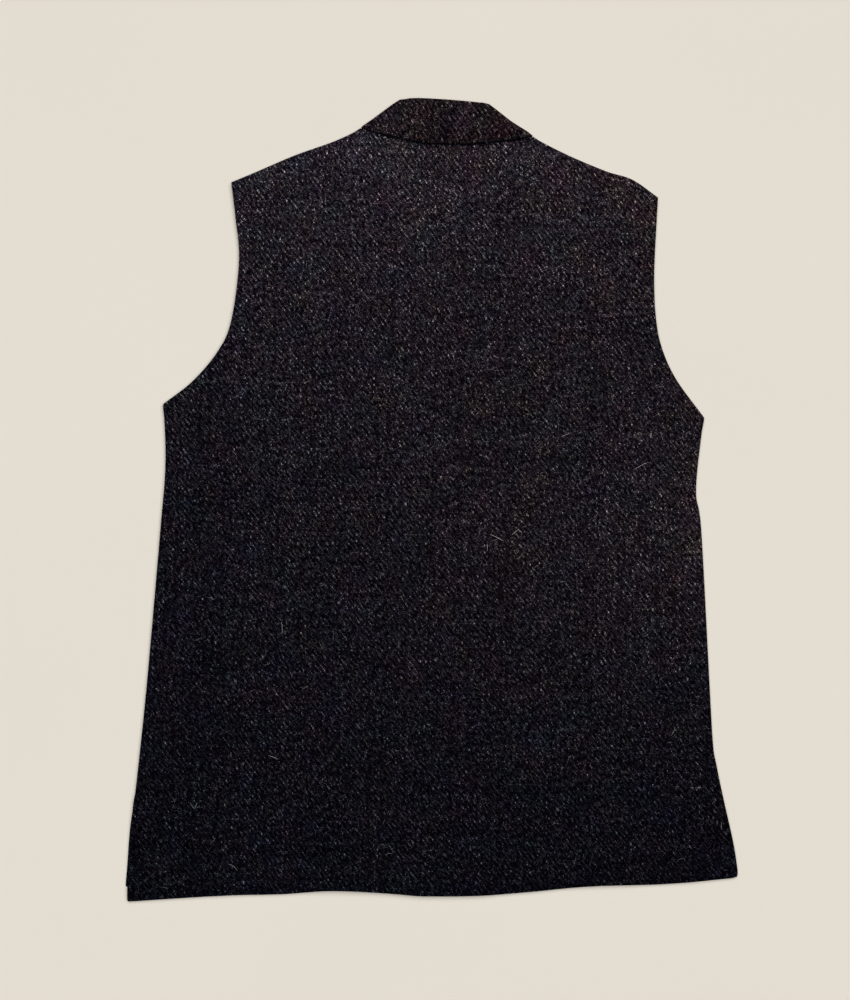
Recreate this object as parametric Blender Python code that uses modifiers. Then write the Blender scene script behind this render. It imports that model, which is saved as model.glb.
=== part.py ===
"""Sleeveless stand-collar vest in thick wool cloth, lying flat with its back up.

+Y runs from the hem to the collar, +X is to the right when the back is looked down on, and
+Z is up, with the underside resting at Z = 0.  Sizes are in millimetres and become metres
when a mesh is made.  "left" and "right" are the sides as seen from above.
"""

import math
from collections import namedtuple

import bpy
import numpy as np

MM = 0.001

# Cloth and layers
CLOTH = 2.0                 # wall of the body panels
COLLAR_CLOTH = 2.4          # wall of the collar band
SEAM_GAP = 0.3              # space between two pieces that are sewn together
LAY_GAP = 0.6               # space between two pieces that lie on each other
ROLL = 1.15                 # radius, at mid wall, at which a sewn edge turns over
SEAM_GROOVE = 0.36          # the wall's end leans by this much, so a seam is a fine groove
FRONT_Z = CLOTH / 2
BACK_Z = FRONT_Z + 2 * (ROLL + SEAM_GROOVE) + SEAM_GAP

# Sewn edges
SEAM_FADE = 14.0            # length over which a side seam opens into a vent or an armhole
FOLD_FADE = 30.0            # distance from a sewn edge at which the soft folds reach full height

# Hem, fronts and their overlap
FRONT_HEM_RISE = 14.0       # the fronts are this much shorter than the back
HEM_DROOP = 1.5             # sag of the back's hem past the hem of the fronts
FRONT_ARMHOLE_SCOOP = 11.0  # the fronts' armholes are cut this much further in
OVERLAP = 18.0              # each front passes the centre-front line by this much
OVERLAP_RAMP = 37.0         # width over which the upper front comes down to the floor
OVERLAP_MARGIN = 2.0        # the upper front stays at full height this far past the lower one
CENTRE_FRONT_NECK = (12.0, 272.0)
CENTRE_FRONT_HEM = (-7.5, -374.0)
NECK_EDGE_SLOPE = 0.8       # fall of the neck edge across the overlap, from its middle to its end

# Buttons
BUTTON_COUNT = 5
BUTTON_RADIUS = 10.0
BUTTON_THICK = 2.3
BUTTON_DISH = 0.7
BUTTON_RIM = 2.2
BUTTON_EDGE = 0.4           # chamfer of the face; the back has twice as much
BUTTON_HOLES = 4
BUTTON_HOLE_RADIUS = 0.9
BUTTON_HOLE_SPREAD = 2.1
BUTTON_SIDES = 20
MERGE_DISTANCE = 0.01
BUTTON_HOLE_SIDES = 8
TOP_BUTTON_Y = 232.0
BUTTON_SPACING = 100.0
PLACKET_LIFT = BUTTON_THICK + SEAM_GAP
PLACKET_FLAT = 19.0         # half width of the strip that is lifted over the buttons
PLACKET_EDGE = 50.0         # half width at which the strip is back on the floor

# Ridge of the back over the lapped fronts
RIDGE_FLAT = 25.0
RIDGE_EDGE = 140.0

# Collar
COLLAR_HEIGHT = 43.0
COLLAR_LIFT = 0.3           # the collar stands this much proud of the back at its seam
COLLAR_SPRING = 1.5         # its top edge lies this much higher again
COLLAR_END_GAP = 1.5        # distance of each collar end from the centre front
COLLAR_END_ROUND = 12.0     # the front corners are rounded off by this much
COLLAR_SEAM_GAP = 0.35      # space at the middle of the neck seam
COLLAR_SEAM_EASE = 0.9      # added towards the folds, where both walls lean
COLLAR_FOLD_GAP = 1.2       # space between the collar's fold and the end of the shoulder seam
COLLAR_ROWS = 5

Mark = namedtuple("Mark", "name left_x left_y right_x right_y")
Level = namedtuple("Level", "name y height")
Fold = namedtuple("Fold", "name x y length width turn height")

# Outer edge of the back, from the hem up to the underarm
BACK_SIDE = (
    Mark("hem corner", -297.5, -394.0, 300.3, -369.8),
    Mark("vent low", -296.6, -358.0, 295.5, -338.3),
    Mark("vent high", -294.0, -324.0, 286.3, -297.0),
    Mark("vent top", -291.5, -299.0, 279.0, -262.0),
    Mark("hip", -285.8, -248.0, 275.6, -235.0),
    Mark("seat", -278.5, -176.5, 272.3, -176.5),
    Mark("waist", -265.6, -29.5, 264.4, -29.5),
    Mark("pinch", -260.6, 36.0, 259.3, 11.0),
    Mark("underarm", -262.3, 94.0, 266.5, 81.0),
)
# Edges of the fronts below the vent top, which show a little past the back's
FRONT_VENT = (
    Mark("hem corner", -300.3, -379.8, 296.5, -356.0),
    Mark("vent low", -298.6, -360.0, 292.3, -331.0),
    Mark("vent high", -296.0, -325.0, 287.0, -297.0),
)
ARMHOLE = (
    Mark("underarm", -262.3, 94.0, 266.5, 81.0),
    Mark("scoop", -233.3, 117.4, 241.1, 117.4),
    Mark("bend", -208.8, 146.8, 227.0, 146.8),
    Mark("curve", -196.1, 176.2, 220.5, 176.2),
    Mark("across back", -188.5, 235.0, 218.5, 220.3),
    Mark("upper", -192.1, 279.1, 221.6, 279.1),
    Mark("shoulder tip", -196.0, 311.5, 222.3, 296.0),
)
SHOULDER = (
    Mark("shoulder tip", -196.0, 311.5, 222.3, 296.0),
    Mark("outer", -169.0, 322.8, 197.0, 313.6),
    Mark("middle", -133.7, 337.9, 172.0, 321.6),
    Mark("inner", -98.6, 350.3, 136.4, 336.4),
    Mark("neck turn", -78.0, 359.3, 107.5, 350.8),
    Mark("neck point", -69.3, 364.5, 100.4, 355.6),
)
BACK_NECK = (
    Mark("centre back", 6.2, 350.0, 6.2, 350.0),
    Mark("inner", -8.0, 350.9, 34.6, 349.6),
    Mark("outer", -40.8, 357.5, 59.1, 351.6),
    Mark("neck point", -69.3, 364.5, 100.4, 355.6),
)
HEM = (
    Mark("centre back", -10.4, -388.4, -10.4, -388.4),
    Mark("inner", -51.6, -385.1, 42.5, -388.1),
    Mark("dip", -98.6, -383.2, 89.5, -384.7),
    Mark("middle", -145.7, -386.6, 160.1, -378.3),
    Mark("outer", -204.5, -388.1, 230.0, -376.4),
    Mark("hem corner", -297.5, -394.0, 300.3, -369.8),
)
CENTRE_BACK = ((-10.4, -388.4), (-2.6, -98.2), (4.3, 122.0), (6.2, 350.0))
COLLAR_TOP = (
    (-32.2, 391.9), (-16.3, 393.9), (7.2, 393.0), (30.7, 391.0), (50.0, 388.9), (58.0, 387.0),
)

# Height of the back's ridge along the centre, and of the strip lifted over the buttons
LAST_BUTTON_Y = TOP_BUTTON_Y - (BUTTON_COUNT - 1) * BUTTON_SPACING
RIDGE = (
    Level("hem", -390.0, 2.4),
    Level("below the buttons", -300.0, 2.8),
    Level("last button", LAST_BUTTON_Y - 25.0, 4.6),
    Level("top button", TOP_BUTTON_Y + 10.0, 4.6),
    Level("front neck", 275.0, 3.8),
    Level("collar ends", 320.0, 2.6),
    Level("back neck", 352.0, 0.2),
)
PLACKET = (
    Level("below the buttons", LAST_BUTTON_Y - 80.0, 0.0),
    Level("last button", LAST_BUTTON_Y - 16.0, PLACKET_LIFT),
    Level("top button", TOP_BUTTON_Y + 13.0, PLACKET_LIFT),
    Level("neck", CENTRE_FRONT_NECK[1], 0.0),
)

# Soft folds of the back; turn is in degrees from +Y, counted clockwise
BACK_FOLDS = (
    Fold("left hem flute", -98.0, -345.0, 150.0, 46.0, 4.0, 2.6),
    Fold("right hem flute", 172.0, -320.0, 190.0, 52.0, -6.0, 3.0),
    Fold("outer right hem flute", 252.0, -330.0, 110.0, 30.0, -8.0, 1.6),
    Fold("left armhole drag", -122.0, 205.0, 105.0, 24.0, -4.0, 1.5),
    Fold("right armhole drag", 196.0, 90.0, 85.0, 26.0, 10.0, 1.7),
    Fold("left waist", -185.0, 20.0, 60.0, 26.0, 78.0, 1.3),
    Fold("right waist", 195.0, 12.0, 55.0, 22.0, -80.0, 1.5),
    Fold("left seat", -190.0, -160.0, 120.0, 40.0, -14.0, 1.2),
)

# Places of the sections, as shares of each stretch
NECK_STEPS = (0.0, 0.06, 0.16, 0.26, 0.36, 0.46, 0.70, 0.90, 1.0)
SHOULDER_STEPS = (0.16, 0.34, 0.52, 0.70, 0.84, 0.94)
EDGE_STEPS = (ROLL, 0.6 * ROLL, 0.2 * ROLL, 0.0)
VENT_STEPS = (0.0, 0.06, 0.15, 0.36, 0.66, 0.88)
SIDE_STEPS = (0.0, 0.02, 0.05, 0.14, 0.24, 0.34, 0.44, 0.54, 0.64, 0.74, 0.84, 0.92, 0.96, 0.98)
ARMHOLE_STEPS = (0.0, 0.03, 0.08, 0.14, 0.21, 0.28, 0.36, 0.45, 0.55, 0.66, 0.78, 0.88, 0.95, 0.98)
CURVE_DETAIL = 24           # points worked out between two marks
FOLD_ANGLES = (0, 30, 60, 90, 120, 150, 180)

CLOTH_COLOUR = (0.012, 0.010, 0.014, 1.0)
CLOTH_ROUGHNESS = 0.95
BUTTON_COLOUR = (0.020, 0.015, 0.012, 1.0)
BUTTON_ROUGHNESS = 0.45


def clear_scene():
    for obj in list(bpy.data.objects):
        bpy.data.objects.remove(obj, do_unlink=True)


def new_collection(name):
    collection = bpy.data.collections.new(name)
    bpy.context.scene.collection.children.link(collection)
    return collection


def make_material(name, colour, roughness):
    material = bpy.data.materials.new(name)
    material.use_nodes = True
    shader = material.node_tree.nodes["Principled BSDF"]
    shader.inputs["Base Color"].default_value = colour
    shader.inputs["Roughness"].default_value = roughness
    shader.inputs["Metallic"].default_value = 0.0
    return material


def smooth(share):
    share = np.clip(share, 0.0, 1.0)
    return share * share * (3.0 - 2.0 * share)


def side_points(marks, side):
    """The marks of one side as an array of (x, y)."""
    if side == "left":
        return np.array([(mark.left_x, mark.left_y) for mark in marks])
    return np.array([(mark.right_x, mark.right_y) for mark in marks])


def smooth_curve(points):
    """A dense line through the points, with the tangents of a Catmull-Rom curve."""
    points = np.asarray(points, float)
    first = 2 * points[0] - points[1]
    last = 2 * points[-1] - points[-2]
    padded = np.vstack([first, points, last])
    line = []
    for index in range(1, len(padded) - 2):
        before, start, end, after = padded[index - 1:index + 3]
        for step in range(CURVE_DETAIL):
            t = step / CURVE_DETAIL
            line.append(0.5 * (2 * start + (end - before) * t
                               + (2 * before - 5 * start + 4 * end - after) * t ** 2
                               + (3 * start - before - 3 * end + after) * t ** 3))
    line.append(points[-1])
    return np.array(line)


def lengths(line):
    """Distance along a line up to each of its points."""
    return np.concatenate([[0.0], np.cumsum(np.linalg.norm(np.diff(line, axis=0), axis=1))])


def along(line, shares):
    """Points at the given shares of a line's length."""
    run = lengths(line)
    wanted = np.asarray(shares) * run[-1]
    return np.stack([np.interp(wanted, run, line[:, axis]) for axis in range(2)], axis=1)


def move_in(line, distance, side):
    """A line moved sideways towards the middle of the garment by a distance at each point."""
    tangent = np.gradient(line, axis=0)
    tangent /= np.linalg.norm(tangent, axis=1)[:, None]
    turn = 1.0 if side == "left" else -1.0
    inward = turn * np.stack([tangent[:, 1], -tangent[:, 0]], axis=1)
    return line + inward * np.asarray(distance)[:, None]


def level_height(levels, y):
    """Height at y, eased from one level to the next."""
    y = np.asarray(y, float)
    height = np.full(y.shape, levels[0].height)
    for low, high in zip(levels, levels[1:]):
        height = height + (high.height - low.height) * smooth((y - low.y) / (high.y - low.y))
    return height


def centre_back_x(y):
    line = smooth_curve(CENTRE_BACK)
    return np.interp(y, line[:, 1], line[:, 0])


def centre_front_x(y):
    (hem_x, hem_y), (neck_x, neck_y) = CENTRE_FRONT_HEM, CENTRE_FRONT_NECK
    return hem_x + (neck_x - hem_x) * (y - hem_y) / (neck_y - hem_y)


def fold_height(fold, x, y):
    """A soft ridge that fades out along and across its line."""
    turn = math.radians(fold.turn)
    along_x, along_y = math.sin(turn), math.cos(turn)
    lengthwise = ((x - fold.x) * along_x + (y - fold.y) * along_y) / fold.length
    across = ((x - fold.x) * along_y - (y - fold.y) * along_x) / fold.width
    fade = [np.cos(np.clip(part, -1.0, 1.0) * math.pi / 2) ** 2 for part in (lengthwise, across)]
    return fold.height * fade[0] * fade[1]


def back_height(x, y):
    """Mid-wall height of the back before its edges are turned."""
    offset = np.abs(x - centre_back_x(y))
    share = 1.0 - smooth((offset - RIDGE_FLAT) / (RIDGE_EDGE - RIDGE_FLAT))
    return BACK_Z + level_height(RIDGE, y) * share


def front_height(x, y, side):
    """Mid-wall height of a front: flat on the floor, lifted at the buttons and the overlap."""
    offset = x - centre_front_x(y)
    strip = 1.0 - smooth((np.abs(offset) - PLACKET_FLAT) / (PLACKET_EDGE - PLACKET_FLAT))
    height = FRONT_Z + level_height(PLACKET, y) * strip
    if side == "right":
        lap = 1.0 - smooth((offset - OVERLAP - OVERLAP_MARGIN) / OVERLAP_RAMP)
        height = height + (CLOTH + LAY_GAP) * lap
    return height


class Side:
    """The lines that bound the panels of one side, at mid wall."""

    def __init__(self, side):
        self.side = side
        self.turn = -1.0 if side == "left" else 1.0
        seam = smooth_curve(side_points(BACK_SIDE, side))
        vent_end = CURVE_DETAIL * [mark.name for mark in BACK_SIDE].index("vent top")
        run = lengths(seam)
        from_end = np.minimum(run - run[vent_end], run[-1] - run)
        sewn = smooth(from_end / SEAM_FADE)
        moved = move_in(seam, sewn * CLOTH / 2, side)
        self.back_vent = moved[:vent_end + 1]
        self.side_seam = moved[vent_end:]
        self.side_sewn = sewn[vent_end:]
        vent_marks = np.vstack([side_points(FRONT_VENT, side), self.side_seam[:1]])
        self.front_vent = smooth_curve(vent_marks)
        shoulder = smooth_curve(side_points(SHOULDER, side))
        self.shoulder = move_in(shoulder, np.full(len(shoulder), CLOTH / 2), side)
        armhole = side_points(ARMHOLE, side)
        armhole[-1] = self.shoulder[0]
        self.back_armhole = smooth_curve(armhole)
        share = lengths(self.back_armhole) / lengths(self.back_armhole)[-1]
        scoop = FRONT_ARMHOLE_SCOOP * np.sin(math.pi * share)
        self.front_armhole = move_in(self.back_armhole, scoop, side)
        neck = side_points(BACK_NECK, side)
        neck[-1] = self.shoulder[-1]
        self.back_neck = along(smooth_curve(neck), NECK_STEPS)
        self.front_neck = self.neck_arc(CENTRE_FRONT_NECK, self.shoulder[-1])

    def neck_arc(self, centre, end):
        """A parabola, level at the centre front, up to an end at the collar's fold."""
        share = np.array(NECK_STEPS)
        x = centre[0] + (end[0] - centre[0]) * share
        y = centre[1] + (end[1] - centre[1]) * share ** 2
        return np.stack([x, y], axis=1)

    def turned_edge(self, x, y):
        """How far the sewn edges pull the wall up or down, and the fade of the soft folds."""
        points = np.stack([x.ravel(), y.ravel()], axis=1)
        pull = np.zeros(len(points))
        nearest_seam = np.full(len(points), np.inf)
        shoulder_sewn = np.ones(len(self.shoulder))
        for line, sewn in ((self.side_seam, self.side_sewn), (self.shoulder, shoulder_sewn)):
            distance, share = nearest(points, line, sewn)
            inside = np.clip(ROLL - distance, 0.0, ROLL)
            pull = np.maximum(pull, share * (ROLL - np.sqrt(ROLL ** 2 - inside ** 2)))
            nearest_seam = np.minimum(nearest_seam, distance)
        return pull.reshape(x.shape), smooth(nearest_seam / FOLD_FADE).reshape(x.shape)


def nearest(points, line, values):
    """Distance from each point to a line, and the line's value at the nearest place."""
    best = np.full(len(points), np.inf)
    value = np.zeros(len(points))
    for start, end, low, high in zip(line, line[1:], values, values[1:]):
        step = end - start
        share = np.clip((points - start) @ step / (step @ step), 0.0, 1.0)
        distance = np.linalg.norm(points - start - share[:, None] * step, axis=1)
        closer = distance < best
        best[closer] = distance[closer]
        value[closer] = (low + share * (high - low))[closer]
    return best, value


def patch(bottom, top, inner, outer, across, up):
    """Points of a sheet that is stretched between four edge lines."""
    u = across[None, :, None]
    v = up[:, None, None]
    corners = ((1 - u) * (1 - v) * bottom[0] + u * (1 - v) * bottom[-1]
               + (1 - u) * v * top[0] + u * v * top[-1])
    between_rows = (1 - v) * bottom[None] + v * top[None]
    between_columns = (1 - u) * inner[:, None] + u * outer[:, None]
    return between_rows + between_columns - corners


def edge_shares(steps, line):
    """Shares of a line's length, with extra ones close to its end for the turned edge."""
    size = lengths(line)[-1]
    return np.concatenate([steps, [1.0 - step / size for step in EDGE_STEPS]])


def outer_edge(vent, seam, armhole):
    """Points of a panel's outer edge, and how far up the panel each of them lies."""
    arm_shares = edge_shares(ARMHOLE_STEPS, armhole)
    points = [along(vent, VENT_STEPS), along(seam, SIDE_STEPS), along(armhole, arm_shares)]
    low = vent[0][1]
    high = armhole[-1][1]
    levels = []
    for line, shares in ((vent, VENT_STEPS), (seam, SIDE_STEPS), (armhole, arm_shares)):
        start, end = ((line[index][1] - low) / (high - low) for index in (0, -1))
        levels.append(start + (end - start) * np.asarray(shares))
    return np.vstack(points), np.concatenate(levels)


def top_edge(neck, shoulder):
    """Points of a panel's top edge from the middle outwards, and their shares of its width."""
    outwards = shoulder[::-1]
    shares = edge_shares(SHOULDER_STEPS, outwards)
    points = np.vstack([neck, along(outwards, shares)])
    run = lengths(points)
    return points, run / run[-1]


def back_grid(lines):
    side, turn = lines.side, lines.turn
    outer, up = outer_edge(lines.back_vent, lines.side_seam, lines.back_armhole)
    top, across = top_edge(lines.back_neck, lines.shoulder)
    bottom = along(smooth_curve(side_points(HEM, side)), across)
    inner = along(smooth_curve(CENTRE_BACK), up)
    half_gap = np.array([turn * SEAM_GAP / 2, 0.0])
    inner = inner + half_gap
    bottom[0] = inner[0]
    top[0] = inner[-1]
    plan = patch(bottom, top, inner, outer, across, up)
    x, y = plan[..., 0], plan[..., 1]
    pull, fade = lines.turned_edge(x, y)
    folds = sum(fold_height(fold, x, y) for fold in BACK_FOLDS)
    past_front_hem = 1.0 - np.clip((y - bottom[None, :, 1]) / FRONT_HEM_RISE, 0.0, 1.0)
    droop = HEM_DROOP * past_front_hem ** 2
    z = back_height(x, y) + folds * fade - pull - droop
    return np.stack([x, y, z], axis=-1)


def front_grid(lines):
    side, turn = lines.side, lines.turn
    outer, up = outer_edge(lines.front_vent, lines.side_seam, lines.front_armhole)
    neck_centre = np.array(CENTRE_FRONT_NECK)
    lap_end = neck_centre - np.array([turn * OVERLAP, NECK_EDGE_SLOPE])
    lap_middle = (lap_end + neck_centre) / 2
    neck = np.vstack([lap_end, lap_middle, lines.front_neck])
    top, across = top_edge(neck, lines.shoulder)
    hem = side_points(HEM, side) + np.array([0.0, FRONT_HEM_RISE])
    hem[0] = (CENTRE_FRONT_HEM[0] - turn * OVERLAP, CENTRE_FRONT_HEM[1])
    hem[-1] = lines.front_vent[0]
    bottom = along(smooth_curve(hem), across)
    inner = bottom[0] + (top[0] - bottom[0]) * up[:, None]
    plan = patch(bottom, top, inner, outer, across, up)
    x, y = plan[..., 0], plan[..., 1]
    pull, _ = lines.turned_edge(x, y)
    z = front_height(x, y, side) + pull
    return np.stack([x, y, z], axis=-1)


def unit(vector):
    return np.asarray(vector) / np.linalg.norm(vector)


def collar_fold(lines, top_line):
    """Sections of the band where it turns under, from the back round to the front."""
    outer_top = top_line if lines.side == "left" else top_line[::-1]
    neck_marks = side_points(BACK_NECK, lines.side)
    neck_point, corner = neck_marks[-1], outer_top[0]
    seam_run, top_run = unit(neck_marks[-2] - neck_point), unit(outer_top[CURVE_DETAIL] - corner)
    fold_run = unit(corner - neck_point)
    inward = -lines.turn * np.array([fold_run[1], -fold_run[0]])
    low_z = COLLAR_CLOTH / 2
    seam_z = BACK_Z + (COLLAR_CLOTH - CLOTH) / 2 + COLLAR_LIFT
    seam_end = neck_point + fold_run * COLLAR_FOLD_GAP
    ends = ((seam_end, seam_run, seam_z), (corner, top_run, seam_z + COLLAR_SPRING))
    sections = []
    for degrees in FOLD_ANGLES:
        angle = math.radians(degrees)
        section = []
        for place, run, high_z in ends:
            radius = (high_z - low_z) / 2
            inset = COLLAR_CLOTH / 2 + radius * (1.0 - math.sin(angle))
            plan = place + run * inset / (run @ inward)
            section.append((*plan, low_z + radius + radius * math.cos(angle)))
        sections.append(section)
    return np.array(sections)


def collar_seam(neck, side_turn):
    """The neck edge moved up by the seam's gap, square to the edge."""
    tangent = np.gradient(neck, axis=0)
    tangent /= np.linalg.norm(tangent, axis=1)[:, None]
    upward = side_turn * np.stack([-tangent[:, 1], tangent[:, 0]], axis=1)
    gap = COLLAR_SEAM_GAP + COLLAR_SEAM_EASE * np.array(NECK_STEPS) ** 4
    return neck + upward * gap[:, None]


def collar_back(lines, top_line, fold_top):
    """Sections of the band behind the neck, from the centre back out to a fold."""
    outer_top = top_line[::-1] if lines.side == "left" else top_line
    turned = np.linalg.norm(outer_top[-1] - fold_top) / lengths(top_line)[-1]
    sections = []
    for share, seam in list(zip(NECK_STEPS, collar_seam(lines.back_neck, lines.turn)))[:-1]:
        top = along(outer_top, [0.5 + share * (0.5 - turned)])[0]
        seam_z = back_height(*seam) + (COLLAR_CLOTH - CLOTH) / 2 + COLLAR_LIFT
        sections.append([(*seam, seam_z), (*top, seam_z + COLLAR_SPRING)])
    return np.array(sections)


def collar_front(lines, fold_top):
    """Sections of the band under the neck, from the centre front up to a fold."""
    start = (CENTRE_FRONT_NECK[0], CENTRE_FRONT_NECK[1] + COLLAR_HEIGHT)
    seams = collar_seam(lines.front_neck, lines.turn)
    tops = lines.neck_arc(start, fold_top)
    seams[0][0] += lines.turn * COLLAR_END_GAP
    tops[0][0] += lines.turn * COLLAR_END_GAP
    sections = []
    for share, seam, top in list(zip(NECK_STEPS, seams, tops))[:-1]:
        rounding = COLLAR_END_ROUND * (1.0 - smooth(share / NECK_STEPS[2])) ** 2
        top = top - unit(top - seam) * rounding
        z = front_height(*seam, lines.side) + (COLLAR_CLOTH - CLOTH) / 2
        sections.append([(*seam, z), (*top, z)])
    return np.array(sections)


def collar_grid(left, right):
    top_line = smooth_curve(COLLAR_TOP)
    halves = {}
    for lines in (left, right):
        fold = collar_fold(lines, top_line)
        back = collar_back(lines, top_line, fold[0][1][:2])
        front = collar_front(lines, fold[-1][1][:2])
        halves[lines.side] = np.concatenate([back, fold, front[::-1]])
    sections = np.concatenate([halves["left"][:0:-1], halves["right"]])
    rise = np.linspace(0.0, 1.0, COLLAR_ROWS)[:, None, None]
    return sections[:, 0][None] + (sections[:, 1] - sections[:, 0])[None] * rise


def link(obj, collection):
    collection.objects.link(obj)
    return obj


def sheet_object(name, grid, thickness, flip, material, collection):
    """A grid of points made into a cloth wall, half of it on each side of the grid."""
    rows, columns = grid.shape[:2]
    faces = []
    for row in range(rows - 1):
        for column in range(columns - 1):
            corner = row * columns + column
            face = (corner, corner + 1, corner + columns + 1, corner + columns)
            faces.append(face[::-1] if flip else face)
    mesh = bpy.data.meshes.new(name)
    mesh.from_pydata((grid.reshape(-1, 3) * MM).tolist(), [], faces)
    mesh.materials.append(material)
    mesh.shade_smooth()
    obj = link(bpy.data.objects.new(name, mesh), collection)
    wall = obj.modifiers.new("Wall", "SOLIDIFY")
    wall.thickness = thickness * MM
    wall.offset = 0.0
    wall.use_even_offset = True
    wall.use_quality_normals = True
    return obj


def button_profile():
    """Half section of a button lying on its face, down its outer side from the top."""
    edge, radius = BUTTON_EDGE, BUTTON_RADIUS
    inner = radius - BUTTON_RIM
    return (
        (0.0, BUTTON_THICK),
        (radius - 2 * edge, BUTTON_THICK),
        (radius, BUTTON_THICK - 2 * edge),
        (radius, edge),
        (radius - edge, 0.0),
        (inner, 0.0),
        (inner - BUTTON_DISH, BUTTON_DISH),
        (0.0, BUTTON_DISH),
    )


def button_mesh():
    profile = [(x * MM, 0.0, z * MM) for x, z in button_profile()]
    mesh = bpy.data.meshes.new("button profile")
    mesh.from_pydata(profile, [(index, index + 1) for index in range(len(profile) - 1)], [])
    return mesh


def hole_cutter(collection):
    """Upright pins in a square, for the sewing holes."""
    pins = []
    reach = BUTTON_HOLE_SPREAD * MM
    for index in range(BUTTON_HOLES):
        angle = 2 * math.pi * (index + 0.5) / BUTTON_HOLES
        place = (reach * math.cos(angle), reach * math.sin(angle))
        bpy.ops.mesh.primitive_cylinder_add(
            vertices=BUTTON_HOLE_SIDES, radius=BUTTON_HOLE_RADIUS * MM,
            depth=4 * BUTTON_THICK * MM, location=(*place, 0.0))
        pins.append(bpy.context.object)
    with bpy.context.temp_override(active_object=pins[0], selected_editable_objects=pins):
        bpy.ops.object.join()
    cutter = pins[0]
    cutter.name = "button holes"
    for owner in list(cutter.users_collection):
        owner.objects.unlink(cutter)
    link(cutter, collection)
    with bpy.context.temp_override(active_object=cutter, selected_editable_objects=[cutter]):
        bpy.ops.object.transform_apply(location=True, rotation=True, scale=True)
    cutter.hide_render = True
    cutter.display_type = "WIRE"
    return cutter


def add_buttons(material, parts, cutters):
    mesh = button_mesh()
    mesh.materials.append(material)
    for index in range(BUTTON_COUNT):
        y = TOP_BUTTON_Y - index * BUTTON_SPACING
        obj = link(bpy.data.objects.new(f"button_{index + 1}", mesh), parts)
        obj.location = (centre_front_x(y) * MM, y * MM, 0.0)
        turned = obj.modifiers.new("Turned", "SCREW")
        turned.steps = BUTTON_SIDES
        turned.render_steps = BUTTON_SIDES
        turned.use_merge_vertices = True
        turned.merge_threshold = MERGE_DISTANCE * MM
        cutter = hole_cutter(cutters)
        cutter.location = obj.location
        holes = obj.modifiers.new("Holes", "BOOLEAN")
        holes.operation = "DIFFERENCE"
        holes.object = cutter


def build():
    clear_scene()
    parts = new_collection("nehru_vest")
    cutters = new_collection("cutters")
    left, right = Side("left"), Side("right")
    for lines in (left, right):
        for panel, grid in (("front", front_grid(lines)), ("back", back_grid(lines))):
            name = f"{panel}_{lines.side}"
            material = make_material(f"{name} cloth", CLOTH_COLOUR, CLOTH_ROUGHNESS)
            sheet_object(name, grid, CLOTH, lines.side == "left", material, parts)
    collar_material = make_material("collar cloth", CLOTH_COLOUR, CLOTH_ROUGHNESS)
    sheet_object("collar", collar_grid(left, right), COLLAR_CLOTH, False, collar_material, parts)
    add_buttons(make_material("button", BUTTON_COLOUR, BUTTON_ROUGHNESS), parts, cutters)


build()
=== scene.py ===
"""Looks of the stand-collar vest: fine cloth shells, tweed, buttons and their sewing, loose hairs, light.

The shells follow the same marks as the solids, in millimetres: +Y runs from the hem to the collar,
+X is to the right when the back is looked down on, and +Z is up from the surface that it lies on.
"""

import math
from collections import namedtuple

import bpy
import numpy as np
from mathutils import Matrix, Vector
from mathutils.bvhtree import BVHTree


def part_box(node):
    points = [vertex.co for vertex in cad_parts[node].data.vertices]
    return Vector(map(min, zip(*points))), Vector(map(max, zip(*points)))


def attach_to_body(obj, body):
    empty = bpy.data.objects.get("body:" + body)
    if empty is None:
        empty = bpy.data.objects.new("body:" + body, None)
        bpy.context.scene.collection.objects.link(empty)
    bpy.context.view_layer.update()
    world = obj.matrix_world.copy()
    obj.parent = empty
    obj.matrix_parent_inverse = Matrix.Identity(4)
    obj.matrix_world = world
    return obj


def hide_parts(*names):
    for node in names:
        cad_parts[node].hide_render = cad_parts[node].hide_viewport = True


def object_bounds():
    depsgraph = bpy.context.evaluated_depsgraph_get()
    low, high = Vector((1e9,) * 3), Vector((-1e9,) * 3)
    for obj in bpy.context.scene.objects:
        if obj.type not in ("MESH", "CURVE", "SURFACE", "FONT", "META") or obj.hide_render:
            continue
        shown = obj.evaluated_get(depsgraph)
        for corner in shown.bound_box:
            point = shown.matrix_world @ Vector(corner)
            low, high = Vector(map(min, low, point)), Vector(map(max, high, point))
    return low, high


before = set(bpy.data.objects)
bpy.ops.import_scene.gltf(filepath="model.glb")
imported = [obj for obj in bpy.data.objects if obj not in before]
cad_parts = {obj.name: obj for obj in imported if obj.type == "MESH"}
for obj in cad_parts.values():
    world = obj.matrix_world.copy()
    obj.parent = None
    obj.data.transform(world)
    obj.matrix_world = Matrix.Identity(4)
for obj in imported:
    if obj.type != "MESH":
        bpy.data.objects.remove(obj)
cad_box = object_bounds()

MM = 0.001
TINY = 1e-9  # keeps a division clear of nought
UPRIGHT = 1e-3  # a strand that leans less than this, as a sine, counts as upright

# Cloth and layers, as in the solids
CLOTH = 2.0
COLLAR_CLOTH = 2.4
SEAM_GAP = 0.3
LAY_GAP = 0.6
ROLL = 1.15
SEAM_GROOVE = 0.36
FRONT_Z = CLOTH / 2
BACK_Z = FRONT_Z + 2 * (ROLL + SEAM_GROOVE) + SEAM_GAP
SEAM_FADE = 14.0
FOLD_FADE = 30.0
FRONT_HEM_RISE = 14.0
HEM_DROOP = 1.5
FRONT_ARMHOLE_SCOOP = 11.0
OVERLAP = 18.0
OVERLAP_RAMP = 37.0
OVERLAP_MARGIN = 2.0
CENTRE_FRONT_NECK = (12.0, 272.0)
CENTRE_FRONT_HEM = (-7.5, -374.0)
NECK_EDGE_SLOPE = 0.8
BUTTON_COUNT = 5
BUTTON_RADIUS = 10.0
BUTTON_THICK = 2.3
BUTTON_HOLE_SPREAD = 2.1
TOP_BUTTON_Y = 232.0
BUTTON_SPACING = 100.0
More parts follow.
